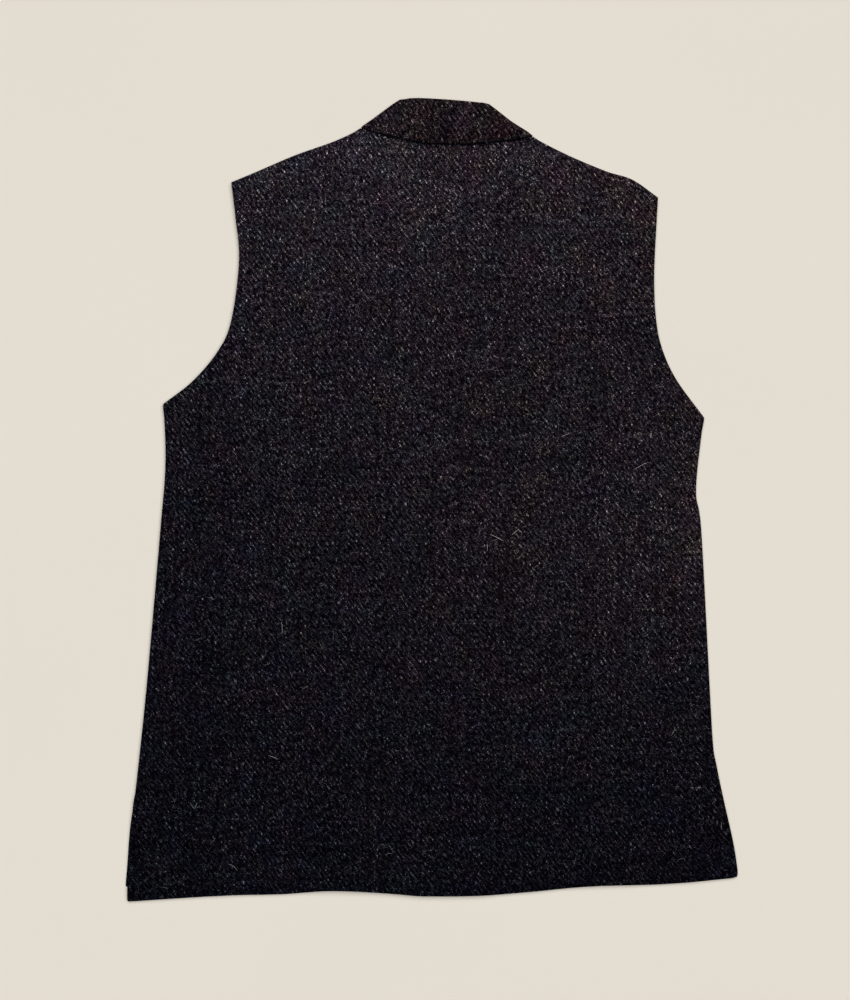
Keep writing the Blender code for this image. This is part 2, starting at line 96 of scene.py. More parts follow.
PLACKET_LIFT = BUTTON_THICK + SEAM_GAP
PLACKET_FLAT = 19.0
PLACKET_EDGE = 50.0
RIDGE_FLAT = 25.0
RIDGE_EDGE = 140.0
COLLAR_HEIGHT = 43.0
COLLAR_LIFT = 0.3
COLLAR_SPRING = 1.5
COLLAR_END_GAP = 1.5
COLLAR_END_ROUND = 12.0
COLLAR_SEAM_GAP = 0.35
COLLAR_SEAM_EASE = 0.9
COLLAR_FOLD_GAP = 1.2

# Fineness of the shells
BACK_STEP = 2.6  # distance between the points of the back
FRONT_STEP = 3.6
BAND_STEP = 1.0  # and along the collar
EDGE_STEPS = (0.0, 0.12, 0.35, 0.7, 1.2, 2.0)  # distances of the first rows from an edge
EDGE_ROUND = 1.2  # distance from a free edge over which the wall rounds off
SEWN_ROUND = 0.4  # and from a sewn edge
CURVE_DETAIL = 24  # steps of a line from one mark to the next
COLLAR_DETAIL = 10  # and from one section of the collar to the next

# Edges: rounded ones stand out a little from the mid-wall lines of the solids
EDGE_OUT = {"left": 0.8, "right": 1.4}
EDGE_FULLNESS = 0.22  # extra half wall where an edge is turned in
EDGE_TURN_IN = 11.0  # width of that turning
TURN_IN_FADE = 3.0  # distance over which it ends
HEM_CORNER = {"left": (0.8, 4.0), "right": (1.8, 8.0)}  # rounding of a hem corner: depth and reach

# Seams, which the shells show as soft ditches
PANEL_GAP = 0.12  # between the two backs at the centre
LAYER_GAP = 0.12  # between the back and the fronts under it
CENTRE_DITCH = 0.55
CENTRE_DITCH_WIDTH = 3.0
NECK_DITCH = 1.3
NECK_DITCH_WIDTH = 3.8
NECK_DITCH_END = {"left": 30.0, "right": 12.0}  # distance from the neck point over which it ends
NECK_TUCK = 2.6  # turning of the neck edge, which runs on under the collar
NECK_TUCK_DROP = 0.4
NECK_TUCK_END = {"left": 15.0, "right": 7.0}  # distance from the neck point where it ends
NECK_TUCK_FADE = 9.0
COLLAR_LAP = 0.25  # how far the collar's edge lies over the neck seam
COLLAR_LAP_END = 0.75  # share of the half neck from which it draws back
COLLAR_LAP_BACK = 2.4  # how far it does, as a multiple of the lap
COLLAR_FOLD_GAPS = (0.3, 0.3, 0.2, 0.12, 0.3, 0.7, COLLAR_FOLD_GAP)  # round a fold, from back to front
COLLAR_STEP = 1.3  # how far the collar lies above the back, on the turnings of its seam
COLLAR_DIP = 0.3  # and how far its edge turns down again
COLLAR_DIP_WIDTH = 3.0
COLLAR_CROWN = 0.35  # fullness of the collar at half its height
COLLAR_CORNER = 0.3  # how much its corners are rounded off
COLLAR_CORNER_SPAN = 9.0
COLLAR_TURN = {"left": 15.0, "right": 9.0}  # distance from a fold over which the band rises
COLLAR_BOW = {  # how far a fold stands out from a straight line, by shares of its height
    "left": ((0.0, 1.1), (0.3, 0.6), (0.65, 0.6), (1.0, 0.5)),
    "right": ((0.0, 1.5), (0.14, 1.4), (0.32, 0.4), (0.5, -0.4), (0.78, -0.2), (1.0, 0.2)),
}
COLLAR_BOW_SPAN = 9.0

Mark = namedtuple("Mark", "name left_x left_y right_x right_y")
Level = namedtuple("Level", "name y height")
Fold = namedtuple("Fold", "name x y length width turn height")
Wave = namedtuple("Wave", "name across_x across_y start height")

BACK_SIDE = (
    Mark("hem corner", -297.5, -394.0, 300.3, -370.5),
    Mark("vent low", -296.6, -358.0, 295.5, -338.3),
    Mark("vent high", -294.0, -324.0, 286.3, -297.0),
    Mark("vent top", -291.5, -299.0, 279.0, -262.0),
    Mark("hip", -285.8, -248.0, 275.6, -235.0),
    Mark("seat", -278.5, -176.5, 272.3, -176.5),
    Mark("waist", -265.6, -29.5, 264.4, -29.5),
    Mark("pinch", -260.6, 36.0, 259.3, 11.0),
    Mark("underarm", -262.3, 94.0, 266.5, 81.0),
)
FRONT_VENT = (
    Mark("hem corner", -300.3, -379.8, 296.5, -356.0),
    Mark("vent low", -298.6, -360.0, 292.3, -331.0),
    Mark("vent high", -296.0, -325.0, 287.0, -297.0),
)
SHOULDER = (
    Mark("shoulder tip", -196.0, 311.5, 222.3, 296.0),
    Mark("outer", -169.0, 322.8, 197.0, 313.6),
    Mark("middle", -133.7, 337.9, 172.0, 321.6),
    Mark("inner", -98.6, 350.3, 136.4, 336.4),
    Mark("neck turn", -78.0, 359.3, 107.5, 350.8),
    Mark("neck point", -69.3, 364.5, 100.4, 355.6),
)
ARMHOLE = (
    BACK_SIDE[-1],
    Mark("scoop", -233.3, 117.4, 241.1, 117.4),
    Mark("bend", -208.8, 146.8, 227.3, 146.8),
    Mark("curve", -196.1, 176.2, 220.8, 176.2),
    Mark("across back", -188.5, 235.0, 218.8, 220.3),
    Mark("upper", -192.1, 279.1, 221.6, 279.1),
    SHOULDER[0],
)
BACK_NECK = (
    Mark("centre back", 6.2, 350.0, 6.2, 350.0),
    Mark("inner", -8.0, 350.9, 34.6, 349.6),
    Mark("outer", -40.8, 357.5, 59.1, 351.6),
    SHOULDER[-1],
)
HEM = (
    Mark("centre back", -10.4, -388.4, -10.4, -388.4),
    Mark("inner", -51.6, -385.1, 42.5, -388.1),
    Mark("dip", -98.6, -383.2, 89.5, -385.1),
    Mark("middle", -145.7, -386.6, 160.1, -378.6),
    Mark("outer", -204.5, -388.1, 230.0, -376.7),
    BACK_SIDE[0],
)
CENTRE_BACK = ((-10.4, -388.4), (-2.6, -98.2), (4.3, 122.0), (6.2, 350.0))
COLLAR_TOP = (
    (-32.2, 391.9), (-16.3, 393.9), (7.2, 393.0), (30.7, 391.2), (50.4, 389.2), (58.7, 387.6),
)
LAST_BUTTON_Y = TOP_BUTTON_Y - (BUTTON_COUNT - 1) * BUTTON_SPACING
RIDGE = (
    Level("hem", -390.0, 2.4),
    Level("below the buttons", -300.0, 2.8),
    Level("last button", LAST_BUTTON_Y - 25.0, 4.6),
    Level("top button", TOP_BUTTON_Y + 10.0, 4.6),
    Level("front neck", 275.0, 3.8),
    Level("collar ends", 320.0, 2.6),
    Level("back neck", 352.0, 0.2),
)
PLACKET = (
    Level("below the buttons", LAST_BUTTON_Y - 80.0, 0.0),
    Level("last button", LAST_BUTTON_Y - 16.0, PLACKET_LIFT),
    Level("top button", TOP_BUTTON_Y + 13.0, PLACKET_LIFT),
    Level("neck", CENTRE_FRONT_NECK[1], 0.0),
)
NECK_STEPS = (0.0, 0.06, 0.16, 0.26, 0.36, 0.46, 0.70, 0.90, 1.0)
FOLD_ANGLES = (0, 30, 60, 90, 120, 150, 180)

# Soft folds of the solids; turn is in degrees from +Y, counted clockwise
BACK_FOLDS = (
    Fold("left hem flute", -98, -345, 150, 46, 4, 2.6),
    Fold("right hem flute", 172, -320, 190, 52, -6, 3),
    Fold("outer right hem flute", 252, -330, 110, 30, -8, 1.6),
    Fold("left armhole drag", -122, 205, 105, 24, -4, 1.5),
    Fold("right armhole drag", 196, 90, 85, 26, 10, 1.7),
    Fold("left waist", -185, 20, 60, 26, 78, 1.3),
    Fold("right waist", 195, 12, 55, 22, -80, 1.5),
    Fold("left seat", -190, -160, 120, 40, -14, 1.2),
)
# Finer creases: the line where the vest was folded away, pulls at the armholes and waist, hem ripples
BACK_CREASES = (
    Fold("storage trough left", -120, 8, 190, 34, 88, -1),
    Fold("storage trough middle", 60, 2, 170, 26, 93, -0.8),
    Fold("storage trough right", 205, -4, 80, 17, 84, -0.7),
    Fold("storage brow left", -90, 52, 150, 30, 91, 0.7),
    Fold("storage brow right", 110, 44, 130, 24, 86, 0.5),
    Fold("left pinch", -226, 34, 46, 10, 76, -0.9),
    Fold("right pinch", 232, 12, 42, 9, -78, -0.9),
    Fold("left armhole pull", -138, 158, 82, 11, -9, -0.8),
    Fold("left underarm pull", -196, 92, 64, 10, 58, 0.6),
    Fold("right armhole pull", 206, 106, 74, 10, 12, -0.8),
    Fold("right underarm pull", 214, 52, 52, 9, -52, 0.5),
    Fold("left shoulder blade", -92, 262, 88, 26, -22, 0.6),
    Fold("right shoulder blade", 118, 248, 96, 28, 18, 0.6),
    Fold("neck spread left", -34, 318, 44, 12, -34, 0.4),
    Fold("neck spread right", 58, 314, 40, 11, 30, 0.4),
    Fold("middle back hollow", 92, -170, 95, 30, 6, -0.8),
    Fold("seat rise", 96, -262, 60, 34, 84, 0.8),
    Fold("left hem ripple", -205, -362, 58, 17, 7, 0.8),
    Fold("left hem hollow", -252, -350, 74, 22, 5, -0.7),
    Fold("middle hem hollow", -38, -356, 66, 24, -3, -0.6),
    Fold("middle hem ripple", 46, -352, 62, 20, -5, 0.7),
    Fold("left vent pull", -262, -262, 56, 9, 24, 0.5),
    Fold("right vent pull", 250, -232, 50, 9, -28, 0.5),
)
# The fronts rest on the surface, so their creases only rise from it
FRONT_CREASES = (
    Fold("storage ridge left", -150, 6, 120, 16, 88, 0.8),
    Fold("storage ridge right", 150, 0, 110, 15, 93, 0.8),
    Fold("left chest pull", -120, 150, 70, 11, -38, 0.6),
    Fold("right chest pull", 128, 138, 78, 12, 34, 0.6),
    Fold("left hem ripple", -168, -330, 52, 16, 6, 0.7),
    Fold("inner left hem ripple", -92, -322, 60, 13, -4, 0.6),
    Fold("right hem ripple", 196, -312, 58, 15, -8, 0.7),
    Fold("inner right hem ripple", 108, -326, 50, 14, 3, 0.6),
    Fold("left waist pull", -214, -70, 48, 9, 62, 0.5),
    Fold("right waist pull", 206, -92, 52, 10, -58, 0.5),
)
# Unevenness of cloth that was smoothed out by hand: wave lengths along X and Y
LAY_WAVES = (
    Wave("broad", 168, 231, 0.4, 0.30),
    Wave("slanting", 97, -143, 1.9, 0.20),
    Wave("crosswise", -310, 74, 3.1, 0.16),
    Wave("close", 61, 118, 5, 0.09),
    Wave("closest", -43, 57, 2.2, 0.05),
)


def smooth(share):
    share = np.clip(share, 0.0, 1.0)
    return share * share * (3.0 - 2.0 * share)


def side_points(marks, side):
    """The marks of one side as an array of (x, y)."""
    if side == "left":
        return np.array([(mark.left_x, mark.left_y) for mark in marks])
    return np.array([(mark.right_x, mark.right_y) for mark in marks])


def smooth_curve(points, detail=CURVE_DETAIL):
    """A dense line through the points, with the tangents of a Catmull-Rom curve."""
    points = np.asarray(points, float)
    first = 2 * points[0] - points[1]
    last = 2 * points[-1] - points[-2]
    padded = np.vstack([first, points, last])
    line = []
    for index in range(1, len(padded) - 2):
        before, start, end, after = padded[index - 1:index + 3]
        for step in range(detail):
            t = step / detail
            line.append(0.5 * (2 * start + (end - before) * t
                               + (2 * before - 5 * start + 4 * end - after) * t ** 2
                               + (3 * start - before - 3 * end + after) * t ** 3))
    line.append(points[-1])
    return np.array(line)


def lengths(line):
    """Distance along a line up to each of its points."""
    return np.concatenate([[0.0], np.cumsum(np.linalg.norm(np.diff(line, axis=0), axis=1))])


def along(line, shares):
    """Points at the given shares of a line's length."""
    run = lengths(line)
    wanted = np.asarray(shares) * run[-1]
    return np.stack([np.interp(wanted, run, axis) for axis in line.T], axis=1)


def spaced(length, step, start=False, end=False):
    """Shares of a stretch, about a step apart, and closer together at the ends that are edges."""
    low = EDGE_STEPS if start else (0.0,)
    high = EDGE_STEPS if end else (0.0,)
    count = max(2, round((length - low[-1] - high[-1]) / step))
    middle = np.linspace(low[-1], length - high[-1], count + 1)
    closing = [length - distance for distance in high[:-1]][::-1]
    return np.concatenate([low[:-1], middle, closing]) / length


def move_in(line, distance, side):
    """A line moved sideways towards the middle of the garment by a distance at each point."""
    tangent = np.gradient(line, axis=0)
    tangent /= np.linalg.norm(tangent, axis=1)[:, None]
    turn = 1.0 if side == "left" else -1.0
    inward = turn * np.stack([tangent[:, 1], -tangent[:, 0]], axis=1)
    return line + inward * np.asarray(distance)[:, None]


def level_height(levels, y):
    """Height at y, eased from one level to the next."""
    y = np.asarray(y, float)
    height = np.full(y.shape, levels[0].height)
    for low, high in zip(levels, levels[1:]):
        height = height + (high.height - low.height) * smooth((y - low.y) / (high.y - low.y))
    return height


def centre_back_x(y):
    line = smooth_curve(CENTRE_BACK)
    return np.interp(y, line[:, 1], line[:, 0])


def centre_front_x(y):
    (hem_x, hem_y), (neck_x, neck_y) = CENTRE_FRONT_HEM, CENTRE_FRONT_NECK
    return hem_x + (neck_x - hem_x) * (y - hem_y) / (neck_y - hem_y)


def folds_height(folds, x, y):
    """Soft ridges and troughs, each fading out along and across its line."""
    total = 0.0
    for fold in folds:
        turn = math.radians(fold.turn)
        along_x, along_y = math.sin(turn), math.cos(turn)
        lengthwise = ((x - fold.x) * along_x + (y - fold.y) * along_y) / fold.length
        across = ((x - fold.x) * along_y - (y - fold.y) * along_x) / fold.width
        fade = [np.cos(np.clip(part, -1.0, 1.0) * math.pi / 2) ** 2 for part in (lengthwise, across)]
        total = total + fold.height * fade[0] * fade[1]
    return total


def lay_height(x, y):
    """Slight unevenness of the whole cloth."""
    total = np.zeros(np.shape(x))
    for wave in LAY_WAVES:
        angle = 2 * math.pi * (x / wave.across_x + y / wave.across_y) + wave.start
        total = total + wave.height * np.sin(angle)
    return total


def back_height(x, y):
    """Mid-wall height of the back before its edges are turned."""
    offset = np.abs(x - centre_back_x(y))
    share = 1.0 - smooth((offset - RIDGE_FLAT) / (RIDGE_EDGE - RIDGE_FLAT))
    return BACK_Z + level_height(RIDGE, y) * share


def front_height(x, y, side):
    """Mid-wall height of a front: flat on the floor, lifted at the buttons and the overlap."""
    offset = x - centre_front_x(y)
    strip = 1.0 - smooth((np.abs(offset) - PLACKET_FLAT) / (PLACKET_EDGE - PLACKET_FLAT))
    height = FRONT_Z + level_height(PLACKET, y) * strip
    if side == "right":
        lap = 1.0 - smooth((offset - OVERLAP - OVERLAP_MARGIN) / OVERLAP_RAMP)
        height = height + (CLOTH + LAY_GAP) * lap
    return height


def fronts_top(x, y):
    """Height of the upper face of the front that lies on top."""
    over = x - centre_front_x(y) > -OVERLAP - OVERLAP_MARGIN
    height = np.where(over, front_height(x, y, "right"), front_height(x, y, "left"))
    return height + folds_height(FRONT_CREASES, x, y) + CLOTH / 2


def nearest(points, line, values):
    """Distance from each point to a line, and the line's value at the nearest place."""
    best = np.full(len(points), np.inf)
    value = np.zeros(len(points))
    for start, end, low, high in zip(line, line[1:], values, values[1:]):
        step = end - start
        share = np.clip((points - start) @ step / (step @ step), 0.0, 1.0)
        distance = np.linalg.norm(points - start - share[:, None] * step, axis=1)
        closer = distance < best
        best[closer] = distance[closer]
        value[closer] = (low + share * (high - low))[closer]
    return best, value


class Side:
    """The lines that bound the panels of one side, at mid wall."""

    def __init__(self, side):
        self.side = side
        self.turn = -1.0 if side == "left" else 1.0
        seam = smooth_curve(side_points(BACK_SIDE, side))
        vent_end = CURVE_DETAIL * [mark.name for mark in BACK_SIDE].index("vent top")
        run = lengths(seam)
        from_end = np.minimum(run - run[vent_end], run[-1] - run)
        sewn = smooth(from_end / SEAM_FADE)
        moved = move_in(seam, sewn * CLOTH / 2 - EDGE_OUT[side], side)
        self.back_vent = moved[:vent_end + 1]
        self.side_seam = moved[vent_end:]
        self.side_sewn = sewn[vent_end:]
        vent_marks = np.vstack([side_points(FRONT_VENT, side), self.side_seam[:1]])
        self.front_vent = smooth_curve(vent_marks)
        shoulder = smooth_curve(side_points(SHOULDER, side))
        self.shoulder = move_in(shoulder, np.full(len(shoulder), CLOTH / 2 - EDGE_OUT[side]), side)
        armhole = side_points(ARMHOLE, side)
        armhole[0] = self.side_seam[-1]
        armhole[-1] = self.shoulder[0]
        self.back_armhole = smooth_curve(armhole)
        share = lengths(self.back_armhole) / lengths(self.back_armhole)[-1]
        scoop = FRONT_ARMHOLE_SCOOP * np.sin(math.pi * share)
        self.front_armhole = move_in(self.back_armhole, scoop, side)
        neck = side_points(BACK_NECK, side)
        neck[-1] = self.shoulder[-1]
        self.back_neck_line = smooth_curve(neck)
        from_point = lengths(self.back_neck_line)[-1] - lengths(self.back_neck_line)
        tuck = NECK_TUCK * smooth((from_point - NECK_TUCK_END[side]) / NECK_TUCK_FADE)
        self.tucked_neck = move_in(self.back_neck_line, tuck, side)
        self.back_neck = along(self.back_neck_line, NECK_STEPS)
        self.front_neck = self.neck_arc(CENTRE_FRONT_NECK, self.shoulder[-1], NECK_STEPS)

    def neck_arc(self, centre, end, shares):
        """A parabola, level at the centre front, up to an end at the collar's fold."""
        share = np.array(shares)
        x = centre[0] + (end[0] - centre[0]) * share
        y = centre[1] + (end[1] - centre[1]) * share ** 2
        return np.stack([x, y], axis=1)

    def turned_edge(self, x, y):
        """How far the sewn edges pull the wall up or down, and the fade of the soft folds."""
        points = np.stack([x.ravel(), y.ravel()], axis=1)
        pull = np.zeros(len(points))
        nearest_seam = np.full(len(points), np.inf)
        shoulder_sewn = np.ones(len(self.shoulder))
        for line, sewn in ((self.side_seam, self.side_sewn), (self.shoulder, shoulder_sewn)):
            distance, share = nearest(points, line, sewn)
            inside = np.clip(ROLL - distance, 0.0, ROLL)
            pull = np.maximum(pull, share * (ROLL - np.sqrt(ROLL ** 2 - inside ** 2)))
            nearest_seam = np.minimum(nearest_seam, distance)
        return pull.reshape(x.shape), smooth(nearest_seam / FOLD_FADE).reshape(x.shape)

    def distance_to(self, line, x, y):
        points = np.stack([x.ravel(), y.ravel()], axis=1)
        return nearest(points, line, np.zeros(len(line)))[0].reshape(x.shape)

    def past_neck(self, x, y):
        """How far points lie above the back's neck seam."""
        order = np.argsort(self.back_neck_line[:, 0])
        seam_y = np.interp(x, *self.back_neck_line[order].T)
        return np.maximum(y - seam_y, 0.0) * (np.abs(x) < np.abs(self.back_neck_line[-1, 0]))


def patch(bottom, top, inner, outer, across, up):
    """Points of a sheet that is stretched between four edge lines."""
    u = across[None, :, None]
    v = up[:, None, None]
    corners = ((1 - u) * (1 - v) * bottom[0] + u * (1 - v) * bottom[-1]
               + (1 - u) * v * top[0] + u * v * top[-1])
    between_rows = (1 - v) * bottom[None] + v * top[None]
    between_columns = (1 - u) * inner[:, None] + u * outer[:, None]
    return between_rows + between_columns - corners


def blunt(plan, lines):
    """A panel's points with the outer corner of its hem rounded off."""
    depth, span = HEM_CORNER[lines.side]
    near = np.clip(1.0 - np.linalg.norm(plan - plan[0, -1], axis=-1) / span, 0.0, 1.0) ** 2
    return plan + near[..., None] * depth * unit((-lines.turn, 1.0))


def outer_edge(vent, seam, armhole, step):
    """Points of a panel's outer edge, and how far up the panel each of them lies."""
    stretches = (
        (vent, spaced(lengths(vent)[-1], step, start=True)[:-1]),
        (seam, spaced(lengths(seam)[-1], step)[:-1]),
        (armhole, spaced(lengths(armhole)[-1], step, end=True)),
    )
    low = vent[0][1]
    high = armhole[-1][1]
    points = []
    levels = []
    for line, shares in stretches:
        start, end = ((line[index][1] - low) / (high - low) for index in (0, -1))
        points.append(along(line, shares))
        levels.append(start + (end - start) * shares)
    return np.vstack(points), np.concatenate(levels)


def top_edge(neck, shoulder, step):
    """Points of a panel's top edge from the middle outwards, and their shares of its width."""
    outwards = shoulder[::-1]
    neck_shares = spaced(lengths(neck)[-1], step, start=True)[:-1]
    shoulder_shares = spaced(lengths(outwards)[-1], step, end=True)
    points = np.vstack([along(neck, neck_shares), along(outwards, shoulder_shares)])
    run = lengths(points)
    return points, run / run[-1]


def turned_in(lines, edges, x, y):
    """Share of fullness near the edges that are turned in, which is none at a sewn edge."""
    share = np.zeros(x.shape)
    for edge in edges:
        distance = lines.distance_to(edge, x, y)
        share = np.maximum(share, 1.0 - smooth((distance - EDGE_TURN_IN) / TURN_IN_FADE))
    sewn = np.minimum(lines.distance_to(lines.side_seam, x, y), lines.distance_to(lines.shoulder, x, y))
    return share * smooth(sewn / SEAM_FADE)


def back_grid(lines):
    """Mid-wall points of a back, and half of its wall."""
    outer, up = outer_edge(lines.back_vent, lines.side_seam, lines.back_armhole, BACK_STEP)
    top, across = top_edge(lines.tucked_neck, lines.shoulder, BACK_STEP)
    hem_marks = side_points(HEM, lines.side)
    hem_marks[-1] = lines.back_vent[0]
    hem = smooth_curve(hem_marks)
    bottom = along(hem, across)
    centre = np.vstack([smooth_curve(CENTRE_BACK), lines.tucked_neck[0]])
    inner = along(centre, up) + np.array([lines.turn * PANEL_GAP / 2, 0.0])
    bottom[0] = inner[0]
    top[0] = inner[-1]
    plan = blunt(patch(bottom, top, inner, outer, across, up), lines)
    x, y = plan[..., 0], plan[..., 1]
    pull, fade = lines.turned_edge(x, y)
    folds = folds_height(BACK_FOLDS + BACK_CREASES, x, y) + lay_height(x, y)
    past_front_hem = 1.0 - np.clip((y - bottom[None, :, 1]) / FRONT_HEM_RISE, 0.0, 1.0)
    droop = HEM_DROOP * past_front_hem ** 2
    from_centre = np.abs(x - centre_back_x(y))
    past_neck = lines.past_neck(x, y)
    from_neck = np.where(past_neck > 0.0, 0.0, lines.distance_to(lines.back_neck_line, x, y))
    neck_ditch = NECK_DITCH * (1.0 - smooth(from_neck / NECK_DITCH_WIDTH))
    neck_ditch = neck_ditch * smooth(lines.distance_to(lines.shoulder, x, y) / NECK_DITCH_END[lines.side])
    ditch = neck_ditch + CENTRE_DITCH * (1.0 - smooth(from_centre / CENTRE_DITCH_WIDTH))
    drop = NECK_TUCK_DROP * smooth(past_neck / NECK_TUCK)
    # A ditch takes its depth from the upper face alone, and no fold presses into the fronts
    fullness = turned_in(lines, (hem, lines.back_vent, lines.back_armhole), x, y)
    half_wall = CLOTH / 2 + EDGE_FULLNESS * fullness - ditch / 2
    level = back_height(x, y) - pull - droop - drop - ditch / 2
    lowest = np.minimum(level, fronts_top(x, y) + half_wall + LAYER_GAP)
    z = np.maximum(level + folds * fade * smooth(from_neck / FOLD_FADE), lowest)
    return np.stack([x, y, z], axis=-1), half_wall


def front_grid(lines):
    """Mid-wall points of a front, and half of its wall."""
    outer, up = outer_edge(lines.front_vent, lines.side_seam, lines.front_armhole, FRONT_STEP)
    neck_centre = np.array(CENTRE_FRONT_NECK)
    lap_end = neck_centre - np.array([lines.turn * OVERLAP, NECK_EDGE_SLOPE])
    arc = lines.neck_arc(CENTRE_FRONT_NECK, lines.shoulder[-1], np.linspace(0.0, 1.0, CURVE_DETAIL))
    neck = np.vstack([lap_end, (lap_end + neck_centre) / 2, arc])
    top, across = top_edge(neck, lines.shoulder, FRONT_STEP)
    hem = side_points(HEM, lines.side) + np.array([0.0, FRONT_HEM_RISE])
    hem[0] = (CENTRE_FRONT_HEM[0] - lines.turn * OVERLAP, CENTRE_FRONT_HEM[1])
    hem[-1] = lines.front_vent[0]
    bottom = along(smooth_curve(hem), across)
    inner = bottom[0] + (top[0] - bottom[0]) * up[:, None]
    plan = blunt(patch(bottom, top, inner, outer, across, up), lines)
    x, y = plan[..., 0], plan[..., 1]
    pull, fade = lines.turned_edge(x, y)
    z = front_height(x, y, lines.side) + folds_height(FRONT_CREASES, x, y) * fade + pull
    return np.stack([x, y, z], axis=-1), CLOTH / 2


def unit(vector):
    return np.asarray(vector) / np.linalg.norm(vector)


def collar_fold(lines, top_line):
    """Sections of the band where it turns under, from the back round to the front."""
    outer_top = top_line if lines.side == "left" else top_line[::-1]
    neck_marks = side_points(BACK_NECK, lines.side)
    neck_point, corner = neck_marks[-1], outer_top[0]
    seam_run, top_run = unit(neck_marks[-2] - neck_point), unit(outer_top[CURVE_DETAIL] - corner)
    fold_run = unit(corner - neck_point)
    inward = -lines.turn * np.array([fold_run[1], -fold_run[0]])
    low_z = COLLAR_CLOTH / 2
    seam_z = BACK_Z + (COLLAR_CLOTH - CLOTH) / 2 + COLLAR_LIFT
    sections = []
    for degrees, gap in zip(FOLD_ANGLES, COLLAR_FOLD_GAPS):
        angle = math.radians(degrees)
        seam_end = neck_point + fold_run * gap
        section = []
        for place, run, high_z in ((seam_end, seam_run, seam_z), (corner, top_run, seam_z + COLLAR_SPRING)):
            radius = (high_z - low_z) / 2
            inset = COLLAR_CLOTH / 2 + radius * (1.0 - math.sin(angle))
            plan = place + run * inset / (run @ inward)
            section.append((*plan, low_z + radius + radius * math.cos(angle)))
        sections.append(section)
    return np.array(sections)


def collar_back(lines, top_line, fold_top):
    """Sections of the band behind the neck, from the centre back out to a fold."""
    outer_top = top_line[::-1] if lines.side == "left" else top_line
    turned = np.linalg.norm(outer_top[-1] - fold_top) / lengths(top_line)[-1]
    sections = []
    past = (np.array(NECK_STEPS) - COLLAR_LAP_END) / (1.0 - COLLAR_LAP_END)
    lap = COLLAR_LAP * (1.0 - COLLAR_LAP_BACK * smooth(past))
    seams = move_in(lines.back_neck, -lap, lines.side)
    for share, seam in list(zip(NECK_STEPS, seams))[:-1]:
        top = along(outer_top, [0.5 + share * (0.5 - turned)])[0]
        seam_z = back_height(*seam) + (COLLAR_CLOTH - CLOTH) / 2 + COLLAR_LIFT
        sections.append([(*seam, seam_z), (*top, seam_z + COLLAR_SPRING)])
    return np.array(sections)


def collar_front(lines, fold_top):
    """Sections of the band under the neck, from the centre front up to a fold."""
    start = (CENTRE_FRONT_NECK[0], CENTRE_FRONT_NECK[1] + COLLAR_HEIGHT)
    gap = COLLAR_SEAM_GAP + COLLAR_SEAM_EASE * np.array(NECK_STEPS) ** 4
    seams = move_in(lines.front_neck, gap, lines.side)
    tops = lines.neck_arc(start, fold_top, NECK_STEPS)
    seams[0][0] += lines.turn * COLLAR_END_GAP
    tops[0][0] += lines.turn * COLLAR_END_GAP
    sections = []
    for share, seam, top in list(zip(NECK_STEPS, seams, tops))[:-1]:
        rounded = COLLAR_END_ROUND * (1.0 - smooth(share / NECK_STEPS[2])) ** 2
        top = top - unit(top - seam) * rounded
        z = front_height(*seam, lines.side) + (COLLAR_CLOTH - CLOTH) / 2
        sections.append([(*seam, z), (*top, z)])
    return np.array(sections)


def collar_grid(left, right):
    """Mid-wall points of the band from its left end round to its right end."""
    top_line = smooth_curve(COLLAR_TOP)
    halves = {}
    for lines in (left, right):
        fold = collar_fold(lines, top_line)
        back = collar_back(lines, top_line, fold[0][1][:2])
        front = collar_front(lines, fold[-1][1][:2])
        halves[lines.side] = np.concatenate([back, fold, front[::-1]])
    sections = np.concatenate([halves["left"][:0:-1], halves["right"]])
    line = smooth_curve(sections.reshape(len(sections), -1), COLLAR_DETAIL)
    run = lengths(line[:, :3])[-1]
    ends = along(line, spaced(run, BAND_STEP, start=True, end=True)).reshape(-1, 2, 3)
    rise = spaced(COLLAR_HEIGHT, BACK_STEP, start=True, end=True)
    grid = ends[:, 0][None] + (ends[:, 1] - ends[:, 0])[None] * rise[:, None, None]
    top_run = lengths(ends[:, 1])
    upper = smooth((rise - 1.0) * COLLAR_HEIGHT / COLLAR_CORNER_SPAN + 1.0)
    behind = smooth((grid[..., 2] - COLLAR_CLOTH) / COLLAR_CLOTH)
    top_x = ends[:, 1, 0]
    for side, fold, turn in (("left", top_x.argmin(), 1.0), ("right", top_x.argmax(), -1.0)):
        from_fold = turn * (top_run - top_run[fold])
        behind = behind * smooth(from_fold / COLLAR_TURN[side])
        rounded = COLLAR_CORNER * upper[:, None] * (1.0 - smooth(np.abs(from_fold) / COLLAR_CORNER_SPAN))
        grid[..., 0] += turn * rounded
        grid[..., 1] -= rounded
        fold_run = unit(ends[fold, 1, :2] - ends[fold, 0, :2])
        outward = turn * np.array([-fold_run[1], fold_run[0]])
        bow = np.interp(rise, *np.array(COLLAR_BOW[side]).T)[:, None]
        bow = bow * (1.0 - smooth(np.abs(from_fold) / COLLAR_BOW_SPAN))
        grid[..., :2] += outward * bow[..., None]
    dip = COLLAR_DIP * (1.0 - smooth(rise * COLLAR_HEIGHT / COLLAR_DIP_WIDTH))
    grid[..., 2] += COLLAR_STEP * behind
    crown = COLLAR_CROWN * np.sin(math.pi * rise)[:, None] * behind
    return grid + normals(grid) * (crown - dip[:, None])[..., None]


def unrolled(band):
    """Places on the band laid out flat: along each row from the centre back, and up from the seam."""
    centre = np.linalg.norm(band[0, :, :2] - CENTRE_BACK[-1], axis=1).argmin()
    along_rows = np.stack([lengths(row) for row in band])
    up_columns = lengths(band[:, centre])
    along_rows = along_rows - along_rows[:, centre:centre + 1]
    return np.stack([along_rows, np.repeat(up_columns[:, None], band.shape[1], axis=1)], axis=-1)


